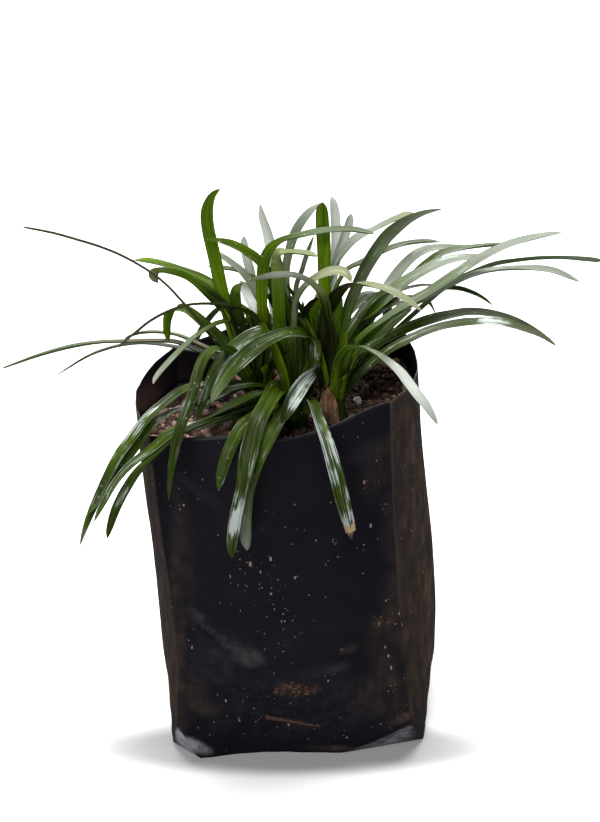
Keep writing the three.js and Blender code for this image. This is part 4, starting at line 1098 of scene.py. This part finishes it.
# The places an inner leaf passes: how far out and up each is, as shares of its reach and its rise.
INNER_PASSES = [(0.35, 0.4), (0.7, 0.75), (1.1, 1.0)]
INNER_TIP_WIDTH = 0.8
# Short inner leaves are painted mostly dim and deep: painted shade in the crowded middle of the bunch.
INNER_LOOKS = ["mid lit lit", "deep mid mid", "dim deep deep", "dim deep dim", "dim dim deep"]
# The blade's colours from painted shade to painted lit bright green, and what lies over them.
BLADE_SHADES = [
    (0.0, (0.012, 0.013, 0.003, 1)), (0.3, (0.032, 0.052, 0.007, 1)),
    (0.65, (0.090, 0.160, 0.003, 1)), (1.0, (0.24, 0.36, 0.006, 1)),
]
VEIN_DARK = (0.003, 0.010, 0.001, 1)
FAINT_PAINTED_SHEEN = (0.10, 0.125, 0.08, 1)
FULL_PAINTED_SHEEN = (0.87, 0.90, 0.86, 1)
PAINTED_SHEEN_VEIN = (0.05, 0.08, 0.04, 1)
BLADE_EDGE = (0.05, 0.065, 0.025, 1)
PAINTED_VEIN_HIGHLIGHT = (0.50, 0.56, 0.50, 1)
PAINTED_GLINT_COLOUR = (0.70, 0.78, 0.74, 1)
WATER_MARK = (0.50, 0.53, 0.45, 1)
WITHERED = (0.62, 0.45, 0.27, 1)
# What light from behind shows through a blade painted dark and through one painted bright, and through a
# vein.
THROUGH_DARK = (0.030, 0.035, 0.004, 1)
THROUGH_BRIGHT = (0.36, 0.60, 0.012, 1)
THROUGH_VEIN = (0.12, 0.22, 0.006, 1)


def curve_through(points, fine=24):
    """A smooth centripetal curve through the points, as close steps."""
    ends = [2 * points[0] - points[1], *points, 2 * points[-1] - points[-2]]
    steps = []
    for a, b, c, d in zip(ends, ends[1:], ends[2:], ends[3:]):
        ab, bc, cd = (max((q - p).to_3d().length, 1e-4) ** 0.5 for p, q in ((a, b), (b, c), (c, d)))
        out = ((b - a) / ab - (c - a) / (ab + bc) + (c - b) / bc) * bc
        into = ((c - b) / bc - (d - b) / (bc + cd) + (d - c) / cd) * bc
        for k in range(fine):
            t = k / fine
            steps.append(
                b * (2 * t**3 - 3 * t**2 + 1)
                + out * (t**3 - 2 * t**2 + t)
                + c * (3 * t**2 - 2 * t**3)
                + into * (t**3 - t**2)
            )
    return [*steps, points[-1]]


def spaced_evenly(steps, shares):
    """Points and directions at shares of the length of a row of close steps."""
    lengths = [0.0]
    for a, b in zip(steps, steps[1:]):
        lengths.append(lengths[-1] + (b - a).to_3d().length)
    spots = []
    k = 0
    for share in shares:
        wanted = share * lengths[-1]
        while k < len(steps) - 2 and lengths[k + 1] < wanted:
            k += 1
        t = (wanted - lengths[k]) / max(lengths[k + 1] - lengths[k], 1e-6)
        spots.append(steps[k].lerp(steps[k + 1], t))
    ways = []
    for i in range(len(spots)):
        way = spots[min(i + 1, len(spots) - 1)] - spots[max(i - 1, 0)]
        ways.append(way.to_3d().normalized())
    return spots, ways, lengths[-1]


def look_at(names, t):
    """Painted light and shade, painted sheen, painted glint and withering at a share of a leaf's length."""
    place = t * (len(names) - 1)
    k = min(int(place), len(names) - 2)
    return Vector(LOOKS[names[k]]).lerp(Vector(LOOKS[names[k + 1]]), smooth(place - k))


def add_leaf(mesh, layers, foot, row, draw, wilts=1):
    """One strap: rings of points round its channelled section, from its root to its tip."""
    looks, passes = row
    points = [Vector(spot) for spot in passes]
    starts = []
    for place in (ROOT, NECK):
        spot = Vector((*foot, SOIL_TOP + place["height"]))
        lean = points[0].to_3d() - spot
        lean.z = 0
        lean = lean.normalized() * min(lean.length, place["spread"])
        starts.append(Vector((*(spot + lean), points[0][3], min(place["width"], points[0][4]))))
    shares = [1 - (1 - i / (LEAF_RINGS - 1)) ** 1.3 for i in range(LEAF_RINGS)]
    spots, ways, length = spaced_evenly(curve_through(starts + points), shares)
    heading = points[-1] - starts[0]
    level = Vector((-heading.y, heading.x, 0)).normalized()
    drift = Vector([draw.uniform(0, 90) for _ in range(3)])
    own = draw.uniform(-0.06, 0.06)
    tanned = draw.random()
    names = [name for name in looks.split() if name in LOOKS]
    torn = looks.endswith("torn")
    started = draw.uniform(0, 3)
    rings = []
    facts = []
    for t, spot, way in zip(shares, spots, ways):
        side = (level - way * level.dot(way)).normalized()
        turn = spot[3] + 5 * noise.noise(drift + Vector((t * 3, 0, 0)))
        side = Matrix.Rotation(math.radians(turn), 3, way) @ side
        face = way.cross(side)
        left = (1 - t) * length
        rounded = 1.0 if torn else math.sqrt(max(1 - max(1 - left / 2.2, 0) ** 2, 0))
        wavy = 1 + 0.04 * noise.noise(drift + Vector((0, t * 5, 0)))
        half = max(spot[4] / 2 * wavy, 0.2) * max(rounded, 0.08)
        channel = half * (LEAF_CHANNEL + 0.35 * smooth((0.3 - t) / 0.3))
        thick = LEAF_THICKNESS / 2 * (1.3 - 0.5 * t) * min(1, half / 1.2)
        ring = []
        for k in range(2 * LEAF_ACROSS):
            angle = math.pi * k / LEAF_ACROSS
            across = -math.cos(angle)
            rise = channel * (2 * abs(across) ** 1.6 - 1) - math.sin(angle) * thick
            cut = TORN_BACK * abs(across - 0.31) ** 0.65 * smooth(1 - left / 12) if torn else 0
            ring.append(spot.to_3d() + side * (half * across) + face * rise - way * cut)
            if torn:
                dry = smooth((TORN_DRY - left) / 0.8)
            else:
                dry = smooth((1.8 * tanned - 0.4 - left) / 0.6) * wilts
            facts.append((t, across, started + t * length * MM, dry))
        rings.append(ring)
    made = [vert for ring in add_tube(mesh, rings) for vert in ring]
    for vert, (t, across, along, dry) in zip(made, facts):
        painted_light, painted_sheen, shine, withered = look_at(names, t)
        vert[layers["across"]] = across
        vert[layers["along"]] = along
        vert[layers["painted_light"]] = painted_light + own
        vert[layers["painted_sheen"]] = painted_sheen
        vert[layers["shine"]] = shine
        vert[layers["dry"]] = max(dry, withered)


def inner_leaf(foot, n, series, draw):
    """A short upright leaf in the middle of a bunch."""
    share = ((n + 1) * GOLDEN_SHARE + series * 0.37) % 1
    angle = math.tau * share
    rise = 16 + 30 * (((n + 1) * GOLDEN_SHARE + (series + 1) * 0.37) % 1)
    turn = draw.uniform(-30, 30)
    wide = draw.uniform(4.4, 5.6)
    passes = []
    for (out, up), width in zip(INNER_PASSES, (wide, wide * 0.85, INNER_TIP_WIDTH)):
        reach = (4 + rise / 5) * out
        x = foot[0] + reach * math.cos(angle)
        y = foot[1] + reach * math.sin(angle)
        passes.append((x, y, SOIL_TOP + rise * up, turn, width))
    return draw.choice(INNER_LOOKS), passes


def along_blade(tree, across, along, drawn_out):
    """The place on a blade laid flat, with the pattern drawn out along it."""
    place = {"X": times(tree, across, BLADE_HALF * MM), "Y": times(tree, along, drawn_out)}
    return add_node(tree, "ShaderNodeCombineXYZ", place).outputs[0]


def leaf_material():
    """A green blade painted lighter or darker as painted light and shade, under a pale painted sheen, with
    dark veins, painted highlight lines, painted glints, specks and withered ends.
    """
    tree, shader, material = new_material("leaf", Coat_Roughness=0.1, Specular_IOR_Level=0.1)
    across = attribute(tree, "across")
    along = attribute(tree, "along")
    painted_sheen = attribute(tree, "painted_sheen")
    shine = attribute(tree, "shine")
    fibres = noise_at(tree, along_blade(tree, across, along, 0.035), 1350.0, 2.0)
    streak = rescale(tree, fibres, 0.34, 0.66)
    clouds = noise_at(tree, along_blade(tree, across, along, 0.3), 260.0, 3.0)
    patch = rescale(tree, clouds, 0.35, 0.65)
    wave = combine(tree, "SINE", times(tree, across, 22.0))
    vein = rescale(tree, wave, -1.0, 1.0)
    painted_light = plus(tree, attribute(tree, "painted_light"), rescale(tree, streak, 0.0, 1.0, -0.12, 0.12))
    blade = shade_ramp(tree, painted_light, BLADE_SHADES)
    blade = blend_colours(tree, times(tree, vein, 0.16), blade, VEIN_DARK)
    # Painted sheen: a pale grey cover standing in for the shine of the bright surround on the leaves.
    painted_sheen_colour = blend_colours(tree, painted_sheen, FAINT_PAINTED_SHEEN, FULL_PAINTED_SHEEN)
    painted_sheen_colour = blend_colours(tree, times(tree, vein, 0.16), painted_sheen_colour, PAINTED_SHEEN_VEIN)
    painted_sheen_cover = rescale(tree, painted_sheen, 0.0, 0.6, 0.0, 0.93)
    colour = blend_colours(tree, painted_sheen_cover, blade, painted_sheen_colour)
    edge = rescale(tree, combine(tree, "ABSOLUTE", across), 0.8, 1.0)
    colour = blend_colours(tree, times(tree, edge, 0.35), colour, BLADE_EDGE)
    # Painted highlights: pale lines along the veins, and glints where the veins would catch the light, both
    # set by the shine attribute.
    painted_line_highlight = rescale(tree, plus(tree, times(tree, patch, 0.5), shine), 0.4, 1.2)
    painted_lines = times(tree, rescale(tree, wave, -0.4, -0.95), times(tree, painted_line_highlight, 0.65))
    colour = blend_colours(tree, painted_lines, colour, PAINTED_VEIN_HIGHLIGHT)
    caught = plus(tree, times(tree, streak, 0.55), times(tree, patch, 0.55))
    painted_glint = rescale(tree, plus(tree, caught, shine), 1.12, 1.5)
    colour = blend_colours(tree, times(tree, painted_glint, 0.85), colour, PAINTED_GLINT_COLOUR)
    specks = mask_of(tree, SPECKS, Scale=800.0, Share=0.09, Size=0.28)
    colour = blend_colours(tree, times(tree, specks, 0.5), colour, WATER_MARK)
    colour = blend_colours(tree, attribute(tree, "dry"), colour, WITHERED)
    tree.links.new(colour, shader.inputs["Base Color"])
    tree.links.new(rescale(tree, streak, 0.0, 1.0, 0.48, 0.30), shader.inputs["Roughness"])
    polish = plus(tree, combine(tree, "MAXIMUM", painted_sheen, painted_glint), times(tree, streak, 0.4))
    tree.links.new(rescale(tree, polish, 0.3, 1.3, 0.0, 0.6), shader.inputs["Coat Weight"])
    add_bump(tree, shader, plus(tree, vein, times(tree, streak, 0.8)), 0.5, 0.0001)
    through = blend_colours(tree, rescale(tree, painted_light, 0.0, 0.7), THROUGH_DARK, THROUGH_BRIGHT)
    through = blend_colours(tree, painted_sheen_cover, through, painted_sheen_colour)
    through = blend_colours(tree, times(tree, vein, 0.3), through, THROUGH_VEIN)
    glow = add_node(tree, "ShaderNodeBsdfTranslucent", {"Color": through})
    mixed = add_node(tree, "ShaderNodeMixShader", {0: 0.3, 1: shader.outputs[0], 2: glow.outputs[0]})
    tree.links.new(mixed.outputs[0], tree.nodes["Material Output"].inputs["Surface"])
    return material


def make_tuft(name, series):
    """One crown with its placed leaves and the short ones that crowd its middle."""
    foot = TUFT_FEET[name]
    draw = random.Random(31 + series)
    mesh = bmesh.new()
    labels = ("across", "along", "painted_light", "painted_sheen", "shine", "dry")
    layers = {label: mesh.verts.layers.float.new(label) for label in labels}
    rings = []
    for radius, height in CROWN_RINGS:
        ring = []
        for k in range(CROWN_SIDES):
            angle = math.tau * k / CROWN_SIDES
            x = foot[0] + radius * math.cos(angle)
            y = foot[1] + radius * math.sin(angle)
            ring.append(Vector((x, y, SOIL_TOP + height)))
        rings.append(ring)
    # The crown is painted dark, as painted shade among the leaf bases.
    for row in add_tube(mesh, rings):
        for vert in row:
            vert[layers["painted_light"]] = 0.3
    for row in LEAVES[name]:
        add_leaf(mesh, layers, foot, row, draw)
    for n in range(INNER_LEAVES):
        add_leaf(mesh, layers, foot, inner_leaf(foot, n, series, draw), draw, 0)
    make_piece(f"leaves_{name}", mesh, LEAF, [f"tuft_{name}"])


LEAF = leaf_material()
for series, name in enumerate(LEAVES):
    make_tuft(name, series)

# Dry sheath
# A dead outer sheath, brown and papery, still wraps the front of the right-hand crown.

SHEATH = {"middle": 250, "span": 84, "thickness": 0.35, "flare": 1.6, "depth": 4, "height": 18.5}
SHEATH_LEVELS = 32
SHEATH_COLUMNS = 16
PAPER_DARK = (0.17, 0.085, 0.042, 1)
PAPER_PALE = (0.36, 0.21, 0.12, 1)
PAPER_STAIN = (0.050, 0.028, 0.014, 1)


def sheath_material():
    """Brown paper with fibres drawn out along it, and darker stains."""
    tree, shader, material = new_material("dry_leaf", Roughness=0.8, Specular_IOR_Level=0.3)
    streak = rescale(tree, noise_at(tree, stretched(tree, (1, 1, 0.1)), 1500.0, 3.0), 0.35, 0.65)
    colour = blend_colours(tree, streak, PAPER_DARK, PAPER_PALE)
    stains = mask_of(tree, PATCHES, Place=stretched(tree, (1, 1, 0.5)), Scale=330.0, Low=0.4, High=0.62)
    colour = blend_colours(tree, times(tree, stains, 0.6), colour, PAPER_STAIN)
    tree.links.new(colour, shader.inputs["Base Color"])
    add_bump(tree, shader, streak, 0.6, 0.0002)
    return material


def sheath_ring(t):
    """The sheath's section at a share of its height: round its outside and back along its inside."""
    x, y = TUFT_FEET["right"]
    inner = CROWN_RADIUS + 0.3 + SHEATH["flare"] * t**2
    spread = SHEATH["span"] * (1 - 0.6 * t**2)
    ring = []
    for thickness, order in ((SHEATH["thickness"], 1), (0.0, -1)):
        for k in range(SHEATH_COLUMNS + 1):
            share = (k / SHEATH_COLUMNS - 0.5) * order
            angle = math.radians(SHEATH["middle"] + spread * share)
            curl = 0.6 * noise.noise(Vector((share * 6, t * 3, 2)))
            radius = inner + thickness + curl
            torn = 0.22 * abs(2 * share) ** 1.5 + 0.12 * noise.noise(Vector((share * 9, 4, 1)))
            rise = (SHEATH["depth"] + SHEATH["height"]) * t * (1 - t * max(torn, 0))
            z = SOIL_TOP - SHEATH["depth"] + rise
            ring.append(Vector((x + radius * math.cos(angle), y + radius * math.sin(angle), z)))
    return ring


def make_sheath():
    mesh = bmesh.new()
    add_tube(mesh, [sheath_ring(level / SHEATH_LEVELS) for level in range(SHEATH_LEVELS + 1)])
    make_piece("dry_leaf_sheath", mesh, sheath_material(), ["dry_sheath"])


make_sheath()

# Studio
# A plain white floor, with a painted contact shadow in a soft oval just in front of the bag's foot, and a
# plain white surround. One large soft lamp hangs above the plant and one behind it, and a small high and a
# small low one in front draw the shine on the hanging tips.

# The lens, from the photo's height in pixels and its focal length in pixels, for a 36 mm sensor.
SENSOR = 36
PHOTO_HEIGHT = 822
PHOTO_FOCAL = 1625
CAMERA_AT = (0.002, -0.5891, 0.4093)
CAMERA_TILT = 65
FLOOR_RADIUS = 0.75
LAMPS_AIM = (0, 0, 0.12)
# Each lamp: its place and sizes in metres and its power in watts.
LAMPS = {
    "above": ((0.0, 0.16, 1.45), (1.25, 0.4), 32),
    "behind": ((0.2, 1.65, 0.72), (1.5, 0.6), 24),
    "front": ((-0.3, -1.1, 1.15), (0.7, 0.35), 12),
    "low": ((-0.25, -1.6, 0.3), (0.5, 0.3), 6),
}


def seen_by_camera(tree):
    return add_node(tree, "ShaderNodeLightPath").outputs["Is Camera Ray"]


def floor_material():
    """White to the camera, with a painted contact shadow in a soft oval just in front of the bag's foot, and
    dull to other rays, so that no glare comes up from below.
    """
    tree, shader, material = new_material("pale_floor", Roughness=1.0, Specular_IOR_Level=0.0)
    # Painted shadow: a soft dark oval on the floor just in front of the bag's foot.
    oval = {0: place_on_object(tree), 1: (10.0, 50.0, 0.0), 2: (0.0, 2.0, 0.0)}
    spread = add_node(tree, "ShaderNodeVectorMath", oval, operation="MULTIPLY_ADD").outputs[0]
    away = add_node(tree, "ShaderNodeVectorMath", {0: spread}, operation="LENGTH").outputs["Value"]
    shade = rescale(tree, away, 1.08, 0.6, 1.1, 0.52)
    seen = add_node(tree, "ShaderNodeCombineColor", {"Red": shade, "Green": shade, "Blue": shade}).outputs[0]
    tone = blend_colours(tree, seen_by_camera(tree), (0.12, 0.12, 0.12, 1), seen)
    matt = add_node(tree, "ShaderNodeBsdfDiffuse", {"Color": tone})
    tree.links.new(matt.outputs[0], tree.nodes["Material Output"].inputs["Surface"])
    tree.nodes.remove(shader)
    return material


def make_floor():
    mesh = bmesh.new()
    bmesh.ops.create_circle(mesh, cap_ends=True, segments=96, radius=FLOOR_RADIUS)
    data = bpy.data.meshes.new("floor")
    mesh.to_mesh(data)
    mesh.free()
    data.materials.append(floor_material())
    floor = bpy.data.objects.new("floor", data)
    bpy.context.scene.collection.objects.link(floor)


def make_lamp(name, spot, sizes, power):
    lamp = bpy.data.lights.new(name, "AREA")
    lamp.shape = "RECTANGLE"
    lamp.size, lamp.size_y = sizes
    lamp.energy = power
    lit = bpy.data.objects.new(name, lamp)
    lit.location = spot
    lit.rotation_euler = (Vector(LAMPS_AIM) - Vector(spot)).to_track_quat("-Z", "Y").to_euler()
    bpy.context.scene.collection.objects.link(lit)


def make_surround():
    world = bpy.data.worlds.new("studio")
    world.use_nodes = True
    background = world.node_tree.nodes["Background"]
    background.inputs["Color"].default_value = (1, 1, 1, 1)
    strength = rescale(world.node_tree, seen_by_camera(world.node_tree), 0.0, 1.0, 0.14, 1.1)
    world.node_tree.links.new(strength, background.inputs["Strength"])
    bpy.context.scene.world = world


def make_camera():
    camera_data = bpy.data.cameras.new("camera")
    camera_data.lens = PHOTO_FOCAL / PHOTO_HEIGHT * SENSOR
    camera_data.sensor_width = SENSOR
    camera = bpy.data.objects.new("camera", camera_data)
    camera.location = CAMERA_AT
    camera.rotation_euler = (math.radians(CAMERA_TILT), 0, 0)
    bpy.context.scene.collection.objects.link(camera)
    bpy.context.scene.camera = camera
    bpy.context.scene.view_settings.view_transform = "Standard"


make_floor()
for name, (spot, sizes, power) in LAMPS.items():
    make_lamp(name, spot, sizes, power)
make_surround()
make_camera()
